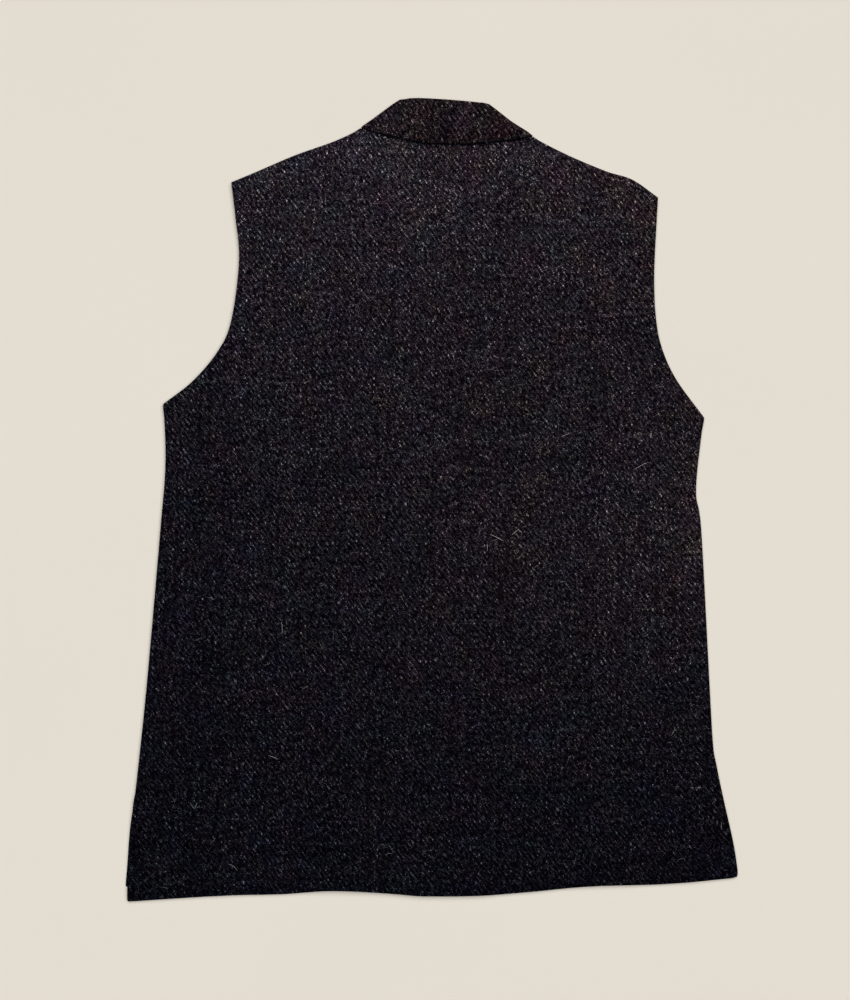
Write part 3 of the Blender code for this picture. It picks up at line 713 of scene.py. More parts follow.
def normals(grid):
    """Unit normals of a grid of points, on the side from which its columns run anticlockwise."""
    crossed = np.cross(np.gradient(grid, axis=1), np.gradient(grid, axis=0))
    return crossed / np.maximum(np.linalg.norm(crossed, axis=-1, keepdims=True), TINY)


def rounding(count, first=EDGE_ROUND, last=EDGE_ROUND):
    """Share of the full wall at each row, none at the two edges."""
    share = np.ones(count)
    for rows, reach in ((share, first), (share[::-1], last)):
        near = np.clip(np.array(EDGE_STEPS) / reach, 0.0, 1.0)
        rows[:len(EDGE_STEPS)] = np.sqrt(1.0 - (1.0 - near) ** 2)
    return share


def mesh_from(name, points, faces, material):
    """A new object from points in millimetres."""
    mesh = bpy.data.meshes.new(name)
    mesh.from_pydata((np.asarray(points) * MM).tolist(), [], faces)
    mesh.materials.append(material)
    mesh.shade_smooth()
    obj = bpy.data.objects.new(name, mesh)
    garment.objects.link(obj)
    return obj


def over_edges(weave, face):
    """Places on the cloth, set further apart at the four edges by the way over the rounded wall."""
    moved = weave.copy()
    across, turned = moved.swapaxes(0, 1), face.swapaxes(0, 1)
    for places, points in ((moved, face), (moved[::-1], face[::-1]),
                           (across, turned), (across[::-1], turned[::-1])):
        steps = places[:len(EDGE_STEPS) - 1] - places[1:len(EDGE_STEPS)]
        steps = steps / np.maximum(np.linalg.norm(steps, axis=-1, keepdims=True), TINY)
        for row in range(len(EDGE_STEPS) - 2, -1, -1):
            way = np.linalg.norm(points[row] - points[row + 1], axis=-1, keepdims=True)
            places[row] = places[row + 1] + steps[row] * way
    return moved


def shell(name, grid, half_wall, flip, material, rounds, weave):
    """A closed wall round a grid of mid-wall points; rounds are for its first and its last row.

    weave is the place of each point on the cloth before it was cut and folded.
    """
    rows, columns = grid.shape[:2]
    half = half_wall * np.minimum(rounding(rows, *rounds)[:, None], rounding(columns)[None])
    outward = normals(grid) * (-1.0 if flip else 1.0)
    inside = np.zeros((rows, columns), bool)
    inside[1:-1, 1:-1] = True
    upper = np.arange(rows * columns).reshape(rows, columns)
    lower = upper.copy()
    lower[inside] = rows * columns + np.arange(inside.sum())
    face = grid + outward * half[..., None]
    points = np.concatenate([face.reshape(-1, 3), (grid - outward * half[..., None])[inside]])
    weave = over_edges(weave, face)
    faces = []
    for index, reverse in ((upper, flip), (lower, not flip)):
        quads = np.stack([index[:-1, :-1], index[:-1, 1:], index[1:, 1:], index[1:, :-1]], axis=-1)
        quads = quads.reshape(-1, 4)
        faces.append(quads[:, ::-1] if reverse else quads)
    obj = mesh_from(name, points, np.concatenate(faces).tolist(), material)
    on_cloth = np.concatenate([weave.reshape(-1, 2), weave[inside]])
    places = obj.data.attributes.new("weave", "FLOAT_VECTOR", "POINT")
    places.data.foreach_set("vector", np.pad(on_cloth, ((0, 0), (0, 1))).astype(np.float32).ravel())
    return obj


def sheet_area(grid):
    """Area of a grid of points, in square metres."""
    first, second = grid[1:, 1:] - grid[:-1, :-1], grid[1:, :-1] - grid[:-1, 1:]
    return float(np.linalg.norm(np.cross(first, second), axis=-1).sum() / 2 * MM ** 2)


def strands(name, paths, radii, material, shades, sides=3):
    """Many thin tubes as one mesh: paths are (strand, point, xyz), radii (strand, point)."""
    count, points = paths.shape[:2]
    run = np.gradient(paths, axis=1)
    run /= np.maximum(np.linalg.norm(run, axis=-1, keepdims=True), TINY)
    across = np.cross(run, np.array([0.0, 0.0, 1.0]))
    flat = np.linalg.norm(across, axis=-1, keepdims=True)
    across = np.where(flat > UPRIGHT, across / np.maximum(flat, TINY), np.array([1.0, 0.0, 0.0]))
    rising = np.cross(across, run)
    angles = 2 * math.pi * np.arange(sides) / sides + math.pi / 2
    ring = (np.cos(angles)[:, None] * across[:, :, None] + np.sin(angles)[:, None] * rising[:, :, None])
    body = paths[:, :, None] + ring * radii[:, :, None, None]
    index = np.arange(count * points * sides).reshape(count, points, sides)
    after = np.roll(index, -1, axis=2)
    quads = np.stack([index[:, :-1], after[:, :-1], after[:, 1:], index[:, 1:]], axis=-1).reshape(-1, 4)
    faces = quads[:, ::-1].tolist()
    for ends, backwards in ((index[:, 0], False), (index[:, -1], True)):
        faces += (ends[:, ::-1] if backwards else ends).tolist()
    obj = mesh_from(name, body.reshape(-1, 3), faces, material)
    shade = obj.data.attributes.new("shade", "FLOAT", "POINT")
    shade.data.foreach_set("value", np.repeat(shades, points * sides).astype(np.float32))
    return obj


class Value:
    """An output of a material's node, to be used in sums like a number."""

    def __init__(self, graph, socket):
        self.graph, self.socket = graph, socket

    def __add__(self, other):
        return self.graph.math("ADD", self, other)

    def __sub__(self, other):
        return self.graph.math("SUBTRACT", self, other)

    def __mul__(self, other):
        return self.graph.math("MULTIPLY", self, other)

    def __truediv__(self, other):
        return self.graph.math("DIVIDE", self, other)

    def scaled(self, factor, plus):
        return self.graph.math("MULTIPLY_ADD", self, factor, plus)


class Graph:
    """Short ways to add and join the nodes of a material."""

    def __init__(self, name):
        self.material = bpy.data.materials.new(name)
        self.material.use_nodes = True
        self.tree = self.material.node_tree
        self.shader = self.tree.nodes["Principled BSDF"]

    def feed(self, socket, value):
        if isinstance(value, Value):
            self.tree.links.new(value.socket, socket)
        else:
            socket.default_value = value

    def add(self, kind, inputs, output=0, **settings):
        """One output of a new node."""
        node = self.tree.nodes.new(kind)
        for key, value in settings.items():
            setattr(node, key, value)
        for key, value in inputs.items():
            self.feed(node.inputs[key], value)
        return Value(self, node.outputs[output])

    def math(self, operation, *values):
        return self.add("ShaderNodeMath", dict(enumerate(values)), operation=operation)

    def vectors(self, operation, *values):
        return self.add("ShaderNodeVectorMath", dict(enumerate(values)), operation=operation)

    def colour(self, tint, strength):
        return self.add("ShaderNodeVectorMath", {0: tint, "Scale": strength}, operation="SCALE")

    def centred(self, colour):
        """A random colour about nought."""
        return self.vectors("SUBTRACT", colour, (0.5, 0.5, 0.5))

    def between(self, low, high, share):
        """low where share is 0 and high where it is 1."""
        return self.math("MULTIPLY_ADD", share, self.math("SUBTRACT", high, low), low)

    def mixed(self, low, high, share):
        """The same for colours."""
        return self.add("ShaderNodeMix", {"Factor": share, 6: low, 7: high}, 2, data_type="RGBA")

    def place(self):
        return self.add("ShaderNodeTexCoord", {}, "Object")

    def vector(self, x, y, z=0.0):
        return self.add("ShaderNodeCombineXYZ", {"X": x, "Y": y, "Z": z})

    def parts(self, value, kind="ShaderNodeSeparateXYZ"):
        """The three parts of a vector or colour."""
        node = self.add(kind, {0: value}).socket.node
        return [Value(self, socket) for socket in node.outputs]

    def noise(self, place, scale, detail, output="Fac"):
        return self.add("ShaderNodeTexNoise", {"Vector": place, "Scale": scale, "Detail": detail}, output)

    def random(self, place, dimensions):
        return self.add("ShaderNodeTexWhiteNoise", {"Vector": place}, "Color", noise_dimensions=dimensions)

    def bump(self, height, strength, distance):
        return self.add("ShaderNodeBump", {"Strength": strength, "Distance": distance, "Height": height})

    def surface(self, inputs):
        """The finished material, with these inputs to its shader."""
        for key, value in inputs.items():
            self.feed(self.shader.inputs[key], value)
        return self.material


# Tweed: a 2/2 twill of mixed yarns, with sizes in millimetres
WARP_PITCH = 1.28
WEFT_PITCH = 1.57
TWILL = 4.0  # yarns in one repeat
FLOAT = TWILL / 2  # yarns that a float passes over
WANDERS = ((1.1, 26.0), (0.34, 2.6))  # slow drift and close unevenness of the yarns: amount and size
CLOTH_TONE = 0.0199  # middle brightness
LIGHTEST = 0.60
CREVICE_PAINTED_SHADE = 0.02  # painted shade between the yarns: share of the brightness left there
WARP_CONTRAST = 0.75  # how much lighter the warp is than the weft
MARL_CONTRAST = 9.6  # spread of brightness along a yarn of mixed fibres
MARL_SIZE = 2.1  # length of its lighter and darker stretches
MARL_STEP = 0.44  # how unlike the next yarn is, from 0
MARL_START = 0.37  # keeps the yarns off the even places of the noise
MARL_SLANT = 1.0  # how much the stretches follow the twill line
TWIST_CONTRAST = 0.13  # lighter and darker turns of the yarn's twist
TWIST_SIZE = 0.8  # length of a turn
TWIST_SLANT = 0.9  # turns from one side of a yarn to the other
TWIST_RELIEF = 0.10  # height of the turns, where a yarn's is 1
FLOAT_CONTRAST = 0.42  # spread from one float to the next
FIBRE_CONTRAST = 1.8  # and within a float
FIBRE_ALONG = 0.75  # fibre marks to a millimetre, along the yarn
FIBRE_ACROSS = 2.0  # and across it
STROKE_CONTRAST = 1.3  # how much lighter the loose fibres are
STROKE_SIZE = 2.4  # size of their curls
STROKE_WIDTH = 0.07  # share of a curl that is fibre
STROKE_BREAKS = 0.7  # breaks to a millimetre
STROKE_BROKEN = (0.48, 0.60)  # noise at which they are hidden and at which they are whole
STROKE_STRETCH = 1.3  # how much longer they are along the twill line
DIAGONAL = 0.7  # length of a diagonal's part along each axis
YARN_CONTRAST = 0.22  # spread from yarn to yarn
PATCH_CONTRAST = 0.5  # and over patches of the cloth
PATCH_SIZE = 38.0
WARP_SEEDS = {"float": 57.0, "yarn": 31.0}  # set the warp's random draws apart from the weft's
DARK_TINT = (1.23, 0.93, 2.24, 1.0)
LIGHT_TINT = (0.94, 0.99, 1.31, 1.0)
TINT_RISE = 0.25  # how fast the dark tint gives way to the light one
HUE_SPREAD = (0.98, 0.47, 1.22)
HUE_SIZE = 30.0
FLECK = 0.08  # share of the colour that changes from float to float
NAP_FINENESS = 2.4  # tufts to a millimetre
NAP_RELIEF = 0.35  # and their height, where a yarn's is 1
PLAIN = (1.0, 1.0, 1.0)
COLLAR_PAINTED_SHADE = (0.74, 0.65, 0.60)  # mostly painted shade against the stronger lamp light at the collar, with a slightly darker, warmer tone of its own
COLLAR_PATCHES = 2.6
HAIR_TINT = (0.90, 0.98, 1.10)
HORN_STREAKS = ((0.35, (0.010, 0.007, 0.006, 1.0)), (0.78, (0.085, 0.050, 0.028, 1.0)))
THREAD_TINT = (1.0, 0.95, 1.0)
FLOOR_COLOUR = (0.812, 0.768, 0.690)


def normal_spread(graph, colour):
    """About a normal spread: three even channels of a colour add up to 1.5, give or take 0.5."""
    red, green, blue = graph.parts(colour, "ShaderNodeSeparateColor")
    return (red + green + blue).scaled(2.0, plus=-3.0)


def tweed_material(name, grain, seed, shade=PLAIN, patch_contrast=PATCH_CONTRAST):
    """Charcoal twill; grain is the turn of its yarns in degrees, and shade a painted shade that darkens the
    whole piece.
    """
    graph = Graph(name)
    place = graph.add("ShaderNodeAttribute", {}, "Vector", attribute_name="weave")
    turned = graph.add("ShaderNodeVectorRotate", {"Vector": place, "Angle": math.radians(grain)},
                       rotation_type="Z_AXIS")
    x, y, _ = graph.parts(turned)
    flat = graph.vector(x, y, seed)
    for amount, size in WANDERS:
        drift = graph.centred(graph.noise(flat, 1.0 / size, 1.0, "Color"))
        flat = graph.vectors("ADD", flat, graph.colour(drift, 2.0 * amount))
    u, v, _ = graph.parts(flat)
    warp, weft = u / WARP_PITCH, v / WEFT_PITCH
    warp_yarn, weft_yarn = graph.math("FLOOR", warp), graph.math("FLOOR", weft)
    warp_share, weft_share = graph.math("FRACT", warp), graph.math("FRACT", weft)
    diagonal = warp_yarn + weft_yarn
    step = graph.math("FLOORED_MODULO", diagonal, TWILL)
    repeat = graph.math("FLOOR", diagonal / TWILL)
    warp_up = graph.math("LESS_THAN", step, FLOAT - 0.5)

    def on_top(of_weft, of_warp):
        """The value of the yarn that shows."""
        return graph.between(of_weft, of_warp, warp_up)

    def arch(share, length):
        return graph.math("SINE", share * (math.pi / length))

    warp_float = arch(step + weft_share, FLOAT) * arch(warp_share, 1.0)
    weft_float = arch(step + warp_share - FLOAT, FLOAT) * arch(weft_share, 1.0)
    relief = graph.math("SQRT", graph.math("MAXIMUM", on_top(weft_float, warp_float), 0.0))

    length, breadth = on_top(u, v), on_top(v, u)
    yarn, yarn_share = on_top(weft_yarn, warp_yarn), on_top(weft_share, warp_share)
    way = warp_up.scaled(WARP_SEEDS["yarn"], plus=seed)
    yarn_random = graph.random(graph.vector(yarn, way), "2D")
    float_id = graph.vector(on_top(repeat, warp_yarn), on_top(weft_yarn, repeat),
                            warp_up.scaled(WARP_SEEDS["float"], plus=seed))
    float_random = graph.random(float_id, "3D")
    # The lighter and darker stretches of neighbouring yarns follow the twill line
    marl_run = (yarn * on_top(WARP_PITCH, WEFT_PITCH)).scaled(MARL_SLANT, plus=length)
    marl_place = graph.vector(marl_run / MARL_SIZE, yarn.scaled(MARL_STEP, plus=MARL_START), way)
    marl = graph.noise(marl_place, 1.0, 1.0) - 0.5
    turns = yarn_share.scaled(TWIST_SLANT, plus=length / TWIST_SIZE)
    twist = graph.math("SINE", turns * (2 * math.pi))
    fibres = graph.noise(graph.vector(length * FIBRE_ALONG, breadth * FIBRE_ACROSS, way), 1.0, 2.0) - 0.5
    patches = graph.noise(flat, 1.0 / PATCH_SIZE, 3.0) - 0.5
    slanted = graph.vector((u - v) * (DIAGONAL / STROKE_STRETCH),
                           (u + v) * (DIAGONAL * STROKE_STRETCH), seed)
    curl = graph.math("ABSOLUTE", graph.noise(slanted, 1.0 / STROKE_SIZE, 1.0) - 0.5)
    stroke = graph.math("MAXIMUM", curl.scaled(-1.0 / STROKE_WIDTH, plus=1.0), 0.0)
    hidden, whole = STROKE_BROKEN
    stroke = stroke * graph.add("ShaderNodeMapRange", {
        "Value": graph.noise(flat, STROKE_BREAKS, 1.0), "From Min": hidden, "From Max": whole})

    spread = (warp_up.scaled(WARP_CONTRAST, plus=-WARP_CONTRAST / 2) + stroke * STROKE_CONTRAST
              + marl * MARL_CONTRAST + twist * TWIST_CONTRAST
              + normal_spread(graph, float_random) * FLOAT_CONTRAST + fibres * FIBRE_CONTRAST
              + normal_spread(graph, yarn_random) * YARN_CONTRAST + patches * patch_contrast)
    # Painted shade: the colour is darkened between the raised yarns, following their relief
    tone = graph.math("EXPONENT", spread) * CLOTH_TONE * graph.between(CREVICE_PAINTED_SHADE, 1.0, relief)
    hue = graph.noise(flat, 1.0 / HUE_SIZE, 3.0, "Color")
    fleck = graph.centred(graph.mixed(hue, float_random, FLECK))
    tint = graph.mixed(DARK_TINT, LIGHT_TINT, spread.scaled(TINT_RISE, plus=0.5))
    # shade darkens the whole piece as painted shade
    tint = graph.vectors("MULTIPLY", graph.vectors("MULTIPLY_ADD", fleck, HUE_SPREAD, tint), shade)
    nap = graph.noise(flat, NAP_FINENESS, 2.0)
    height = twist.scaled(TWIST_RELIEF, plus=nap.scaled(NAP_RELIEF, plus=relief))
    return graph.surface({
        "Base Color": graph.colour(tint, graph.math("MINIMUM", tone, LIGHTEST)),
        "Normal": graph.bump(height, strength=0.8, distance=0.00035),
        "Roughness": nap.scaled(0.14, plus=0.82),
        "Specular IOR Level": 0.002,
        "Sheen Weight": 0.005,
        "Sheen Roughness": 0.55,
        "Sheen Tint": (0.60, 0.56, 0.66, 1.0),
    })


def hair_material():
    """Undyed kemp; each hair has its own shade from dark grey to cream."""
    graph = Graph("kemp hair")
    shade = graph.add("ShaderNodeAttribute", {}, "Fac", attribute_name="shade")
    mottle = graph.noise(graph.place(), scale=900.0, detail=2.0).scaled(0.8, plus=0.6)
    return graph.surface({
        "Base Color": graph.colour(HAIR_TINT, shade * mottle),
        "Roughness": 0.6,
        "Specular IOR Level": 0.15,
    })


def horn_material():
    """Dark horn with paler streaks and a satin face."""
    graph = Graph("horn button")
    stretched = graph.add("ShaderNodeMapping", {"Vector": graph.place(), "Scale": (1.0, 3.2, 1.0)})
    streak = graph.noise(stretched, scale=170.0, detail=5.0)
    ramp = graph.add("ShaderNodeValToRGB", {"Fac": streak}, "Color")
    for element, (position, tone) in zip(ramp.socket.node.color_ramp.elements, HORN_STREAKS):
        element.position, element.color = position, tone
    return graph.surface({
        "Base Color": ramp,
        "Normal": graph.bump(streak, strength=0.25, distance=0.00008),
        "Roughness": graph.noise(stretched, scale=900.0, detail=3.0).scaled(0.22, plus=0.26),
    })


def thread_material():
    """Black sewing thread with a twist."""
    graph = Graph("sewing thread")
    twist = graph.add("ShaderNodeTexWave", {"Vector": graph.place(), "Scale": 900.0, "Distortion": 2.0},
                      "Fac", bands_direction="DIAGONAL")
    return graph.surface({
        "Base Color": graph.colour(THREAD_TINT, twist.scaled(0.012, plus=0.006)),
        "Normal": graph.bump(twist, strength=0.5, distance=0.00006),
        "Roughness": 0.6,
        "Specular IOR Level": 0.2,
    })


def floor_material():
    """Pale, almost even ground."""
    graph = Graph("pale floor")
    tone = graph.noise(graph.place(), scale=3.0, detail=3.0).scaled(0.03, plus=0.985)
    return graph.surface({
        "Base Color": graph.colour(FLOOR_COLOUR, tone),
        "Roughness": 0.9,
        "Specular IOR Level": 0.1,
    })


# Cloth pieces
TWEED = {  # turn of the yarns in degrees, seed, and for the collar its painted shade and patch contrast
    "front_left": (-1.0, 19.0),
    "front_right": (-1.4, 27.0),
    "back_left": (1.2, 3.0),
    "back_right": (1.0, 11.0),
    "collar": (0.6, 71.0, COLLAR_PAINTED_SHADE, COLLAR_PATCHES),
}
FLOOR_REACH = 60.0
FLOOR_DROP = 0.0002  # keeps the floor clear of the cloth

scene = bpy.context.scene
garment = bpy.data.collections.new("vest_looks")
scene.collection.children.link(garment)
floor_mesh = bpy.data.meshes.new("floor")
floor_mesh.from_pydata([(x * FLOOR_REACH, y * FLOOR_REACH, 0.0)
                        for x, y in ((-1, -1), (1, -1), (1, 1), (-1, 1))], [], [(0, 1, 2, 3)])
floor_mesh.materials.append(floor_material())
floor = bpy.data.objects.new("floor", floor_mesh)
scene.collection.objects.link(floor)
floor.location.z = -FLOOR_DROP
cloth = []


def attach(piece, node):
    """Fixes a piece to the body in place of a solid."""
    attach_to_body(piece, "root")
    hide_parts(node)


def add_cloth(node, grid, half_wall, flip, rounds, weave):
    """A cloth piece that stands for the solid of the same name."""
    material = tweed_material("tweed " + node.replace("_", " "), *TWEED[node])
    piece = shell(f"{node}_cloth", grid, half_wall, flip, material, rounds, weave)
    attach(piece, node)
    cloth.append(piece)
    return piece


def add_panel(layer, lines, panel):
    """A front or a back; panel is its mid-wall points and half of its wall."""
    grid, half_wall = panel
    piece = add_cloth(f"{layer}_{lines.side}", grid, half_wall, lines.side == "left",
                      (EDGE_ROUND, SEWN_ROUND), grid[..., :2])
    sheet_area(grid)


left, right = Side("left"), Side("right")
for lines in (left, right):
    add_panel("front", lines, front_grid(lines))
for lines in (left, right):
    add_panel("back", lines, back_grid(lines))
band = collar_grid(left, right)
collar = add_cloth("collar", band, COLLAR_CLOTH / 2, False, (SEWN_ROUND, EDGE_ROUND), unrolled(band))
sheet_area(band)


# Buttons and their sewing
BUTTON_DISH = 0.7
BUTTON_RIM = 2.2
BUTTON_EDGE = 0.4
BUTTON_HOLES = 4
BUTTON_HOLE_RADIUS = 0.9
BUTTON_TURNS = 72
BUTTON_SHARP = 38.0  # angle in degrees from which an edge stays sharp
HOLE_SIDES = 24
PROFILE_ROUNDS = 3  # passes that round off the corners of a button's section
CORNER_CUT = 0.25  # share of a side that each pass cuts off at either end
BUTTON_TILTS = (8.0, -21.0, 33.0, 2.0, -12.0)
THREAD_RADIUS = 0.2
THREAD_SIDES = 6
THREADS_IN_BAR = 4
THREAD_SPREAD = 1.7  # distance between the threads of a bar, in radii
THREAD_STAGGER = 0.06
THREAD_PATH = (  # way of a thread over a button: share of the way from hole to hole, and height
    (0.02, 2.75), (0.0, 1.5), (0.02, 0.8), (0.10, 0.52), (0.25, 0.44), (0.5, 0.40),
    (0.75, 0.44), (0.90, 0.52), (0.98, 0.8), (1.0, 1.5), (0.98, 2.75),
)
STITCH_RADIUS = 0.17
STITCH_SIDES = 4
STITCH_STEP = 0.5
STITCH_REACH = 1.7  # how far a stitch runs from the slit
STITCH_PATH = ((0.0, 0.10), (0.12, -0.08), (0.5, -0.14), (0.88, -0.08), (1.0, 0.10))  # share and height
SLIT_EDGE = 0.15
SLIT_BEFORE = 2.0  # slit on the front edge's side of the button
SLIT_AFTER = 20.0  # and on its other side
EYELET_STITCHES = 9
BAR_STITCHES = 5


def button_profile():
    """Half section of a turned button lying on its face, down its outer side from the top."""
    edge, radius = BUTTON_EDGE, BUTTON_RADIUS
    inner = radius - BUTTON_RIM
    line = np.array([
        (0.0, BUTTON_THICK),
        (radius - 5 * edge, BUTTON_THICK),
        (radius - 2 * edge, BUTTON_THICK),
        (radius, BUTTON_THICK - 2 * edge),
        (radius, edge),
        (radius - edge, 0.0),
        (inner, 0.0),
        (inner - BUTTON_DISH, BUTTON_DISH),
        (inner - 3 * BUTTON_DISH, BUTTON_DISH),
        (0.0, BUTTON_DISH),
    ])
    for _ in range(PROFILE_ROUNDS):
        start, end = line[:-1], line[1:]
        cuts = [(1 - share) * start + share * end for share in (CORNER_CUT, 1 - CORNER_CUT)]
        cut = np.stack(cuts, axis=1).reshape(-1, 2)
        line = np.vstack([line[:1], cut[1:-1], line[-1:]])
    return line


def turned_mesh(profile, turns):
    """Points and faces of a profile turned round the upright axis; its two ends lie on the axis."""
    angles = 2 * math.pi * np.arange(turns) / turns
    body = profile[1:-1]
    rings = np.stack([body[:, :1] * np.cos(angles), body[:, :1] * np.sin(angles),
                      np.repeat(body[:, 1:], turns, axis=1)], axis=-1)
    points = np.vstack([rings.reshape(-1, 3), (0.0, 0.0, profile[0, 1]), (0.0, 0.0, profile[-1, 1])])
    index = np.arange(len(body) * turns).reshape(len(body), turns)
    after = np.roll(index, -1, axis=1)
    faces = np.stack([index[:-1], index[1:], after[1:], after[:-1]], axis=-1).reshape(-1, 4).tolist()
    first, last = len(points) - 2, len(points) - 1
    faces += [(first, low, high) for low, high in zip(index[0], after[0])]
    faces += [(last, high, low) for low, high in zip(index[-1], after[-1])]
    return points, [[int(corner) for corner in face] for face in faces]


def hole_places():
    angles = 2 * math.pi * (np.arange(BUTTON_HOLES) + 0.5) / BUTTON_HOLES
    return BUTTON_HOLE_SPREAD * np.stack([np.cos(angles), np.sin(angles)], axis=1)


def drilled_button(material):
    """Mesh of a turned button with its sewing holes drilled through."""
    points, faces = turned_mesh(button_profile(), BUTTON_TURNS)
    blank = mesh_from("button blank", points, faces, material)
    pin = np.array([(0.0, 2 * BUTTON_THICK), (BUTTON_HOLE_RADIUS, 2 * BUTTON_THICK),
                    (BUTTON_HOLE_RADIUS, -BUTTON_THICK), (0.0, -BUTTON_THICK)])
    points, faces = turned_mesh(pin, HOLE_SIDES)
    all_points = np.vstack([points + np.array([*place, 0.0]) for place in hole_places()])
    all_faces = [[corner + number * len(points) for corner in face]
                 for number in range(BUTTON_HOLES) for face in faces]
    pins = mesh_from("button pins", all_points, all_faces, material)
    drill = blank.modifiers.new("Holes", "BOOLEAN")
    drill.operation = "DIFFERENCE"
    drill.object = pins
    mesh = bpy.data.meshes.new_from_object(blank.evaluated_get(bpy.context.evaluated_depsgraph_get()))
    for used in (blank, pins):
        bpy.data.objects.remove(used)
    mesh.shade_smooth()
    mesh.set_sharp_from_angle(angle=math.radians(BUTTON_SHARP))
    return mesh


def sewn_bars(places):
    """Paths of the threads that cross the buttons' faces from hole to hole."""
    holes = hole_places()
    share, height = np.array(THREAD_PATH).T
    paths = []
    for place, tilt in zip(places, BUTTON_TILTS):
        angle = math.radians(tilt)
        spin = np.array([[math.cos(angle), math.sin(angle)], [-math.sin(angle), math.cos(angle)]])
        for start, end in ((holes[0], holes[1]), (holes[3], holes[2])):
            for number in range(THREADS_IN_BAR):
                side = (number - (THREADS_IN_BAR - 1) / 2) * THREAD_SPREAD * THREAD_RADIUS
                plan = start + (end - start) * share[:, None] + np.array([0.0, side])
                z = height + THREAD_STAGGER * (number % 2)
                paths.append(np.column_stack([plan @ spin + place[:2], z]))
    return np.array(paths)


def buttonhole(place):
    """Paths of the stitches round the slit that a button goes through, on the left front's face."""
    ends = []
    for run in np.arange(-SLIT_AFTER, SLIT_BEFORE, STITCH_STEP):
        for turn in (1.0, -1.0):
            ends.append(((run, turn * SLIT_EDGE), (run, turn * STITCH_REACH)))
    eye = np.array([SLIT_BEFORE, 0.0])
    for angle in np.linspace(-math.pi / 2, math.pi / 2, EYELET_STITCHES):
        out = np.array([math.cos(angle), math.sin(angle)])
        ends.append((eye + out * SLIT_EDGE, eye + out * STITCH_REACH))
    for number in range(BAR_STITCHES):
        run = -SLIT_AFTER - number * 2 * STITCH_RADIUS
        ends.append(((run, -STITCH_REACH), (run, STITCH_REACH)))
    ends = np.array(ends)
    share, height = np.array(STITCH_PATH).T
    plan = ends[:, :1] + (ends[:, 1:] - ends[:, :1]) * share[None, :, None] + place[:2]
    z = front_height(plan[..., 0], plan[..., 1], "left") - CLOTH / 2 + height
    return np.concatenate([plan, z[..., None]], axis=-1)


def add_sewing(name, paths, radius, sides):
    piece = strands(name, paths, np.full(paths.shape[:2], radius), thread, np.ones(len(paths)), sides)
    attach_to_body(piece, "root")


thread = thread_material()
button_places = []
button_mesh = drilled_button(horn_material())
for number, tilt in enumerate(BUTTON_TILTS, 1):
    low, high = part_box(f"button_{number}")
    place = np.array([(low.x + high.x) / 2, (low.y + high.y) / 2, low.z]) / MM
    button_places.append(place)
    button = bpy.data.objects.new(f"button_{number}_horn", button_mesh)
    garment.objects.link(button)
    button.location = place * MM
    button.rotation_euler.z = math.radians(tilt)
    attach(button, f"button_{number}")
add_sewing("button_thread", sewn_bars(button_places), THREAD_RADIUS, THREAD_SIDES)
stitches = np.concatenate([buttonhole(place) for place in button_places])
add_sewing("buttonhole_stitches", stitches, STITCH_RADIUS, STITCH_SIDES)


# Loose kemp hairs that lie on the cloth
HairKind = namedtuple("HairKind", "name number lengths radii lights")
Hair = namedtuple("Hair", "name x y length turn curl light")
HAIR_SEED = 20
HAIR_POINTS = 7
HAIR_KINDS = (
    HairKind("clear", 320, (3.0, 9.0), (0.07, 0.11), (0.35, 0.75)),
    HairKind("faint", 2400, (2.0, 6.5), (0.06, 0.09), (0.12, 0.40)),
)
HAIR_CURL = 1.3  # usual bend from end to end, in radians
HAIR_TIP = 0.35  # share of a hair's thickness at its ends
HAIR_RIDE = 0.10  # how far a hair's middle lies above the cloth
HAIR_ARCH = 2.0  # its rise from the ends, as a multiple of that
HAIR_SINK = 0.6  # and how far its ends are sunk
HAIR_STEADY = 1.2  # most that the cloth may rise or fall under a hair
CAST_FROM = 0.05  # height in metres from which the cloth is looked for
UNDER_SHARE = 0.45  # hairs on the hidden face for each one on the visible face
UNDER_CLEAR = 0.1  # their lowest height above the floor
LONG_RADIUS = 0.27
LONG_HAIRS = (
    Hair("left vent, one", -232.4, -302.8, 7.0, -38.0, 12.0, 0.6),
    Hair("left vent, two", -232.4, -302.8, 7.0, 36.0, -20.0, 0.8),
    Hair("left seat", -159.9, -250.1, 11.0, 106.0, 10.0, 0.85),
    Hair("left hem", -199.6, -356.5, 13.0, 92.0, 60.0, 0.7),
    Hair("middle, long", 57.0, -33.4, 16.0, 108.0, 14.0, 0.85),
    Hair("middle, arched", 78.8, -34.4, 8.5, 44.0, 6.0, 0.7),
    Hair("middle, upright", 55.0, -42.6, 8.0, 184.0, -10.0, 0.75),
    Hair("middle, branch", 58.6, -40.4, 7.0, 62.0, 20.0, 0.4),
    Hair("middle, hook", 84.8, -28.2, 5.5, 124.0, 15.0, 0.85),
    Hair("middle, small", 48.0, -24.0, 3.0, 30.0, 0.0, 0.9),
    Hair("left waist", -146.7, -119.8, 13.0, 166.0, 22.0, 1.0),
    Hair("right vent", 284.5, -315.8, 7.5, 176.0, 6.0, 0.9),
    Hair("right seat", 235.5, -230.5, 7.0, 28.0, 8.0, 0.8),
    Hair("right side", 197.8, 29.2, 17.5, 55.0, 12.0, 0.55),
    Hair("right side, short", 215.0, 60.5, 6.0, 4.0, 8.0, 0.8),
    Hair("right waist", 126.8, 61.8, 11.0, 62.0, 12.0, 0.4),
)


def cloth_tree():
    """All cloth shells as one tree for casting onto them."""
    points = []
    faces = []
    for piece in cloth:
        start = len(points)
        points += [vertex.co.copy() for vertex in piece.data.vertices]
        faces += [[corner + start for corner in face.vertices] for face in piece.data.polygons]
    return BVHTree.FromPolygons(points, faces)


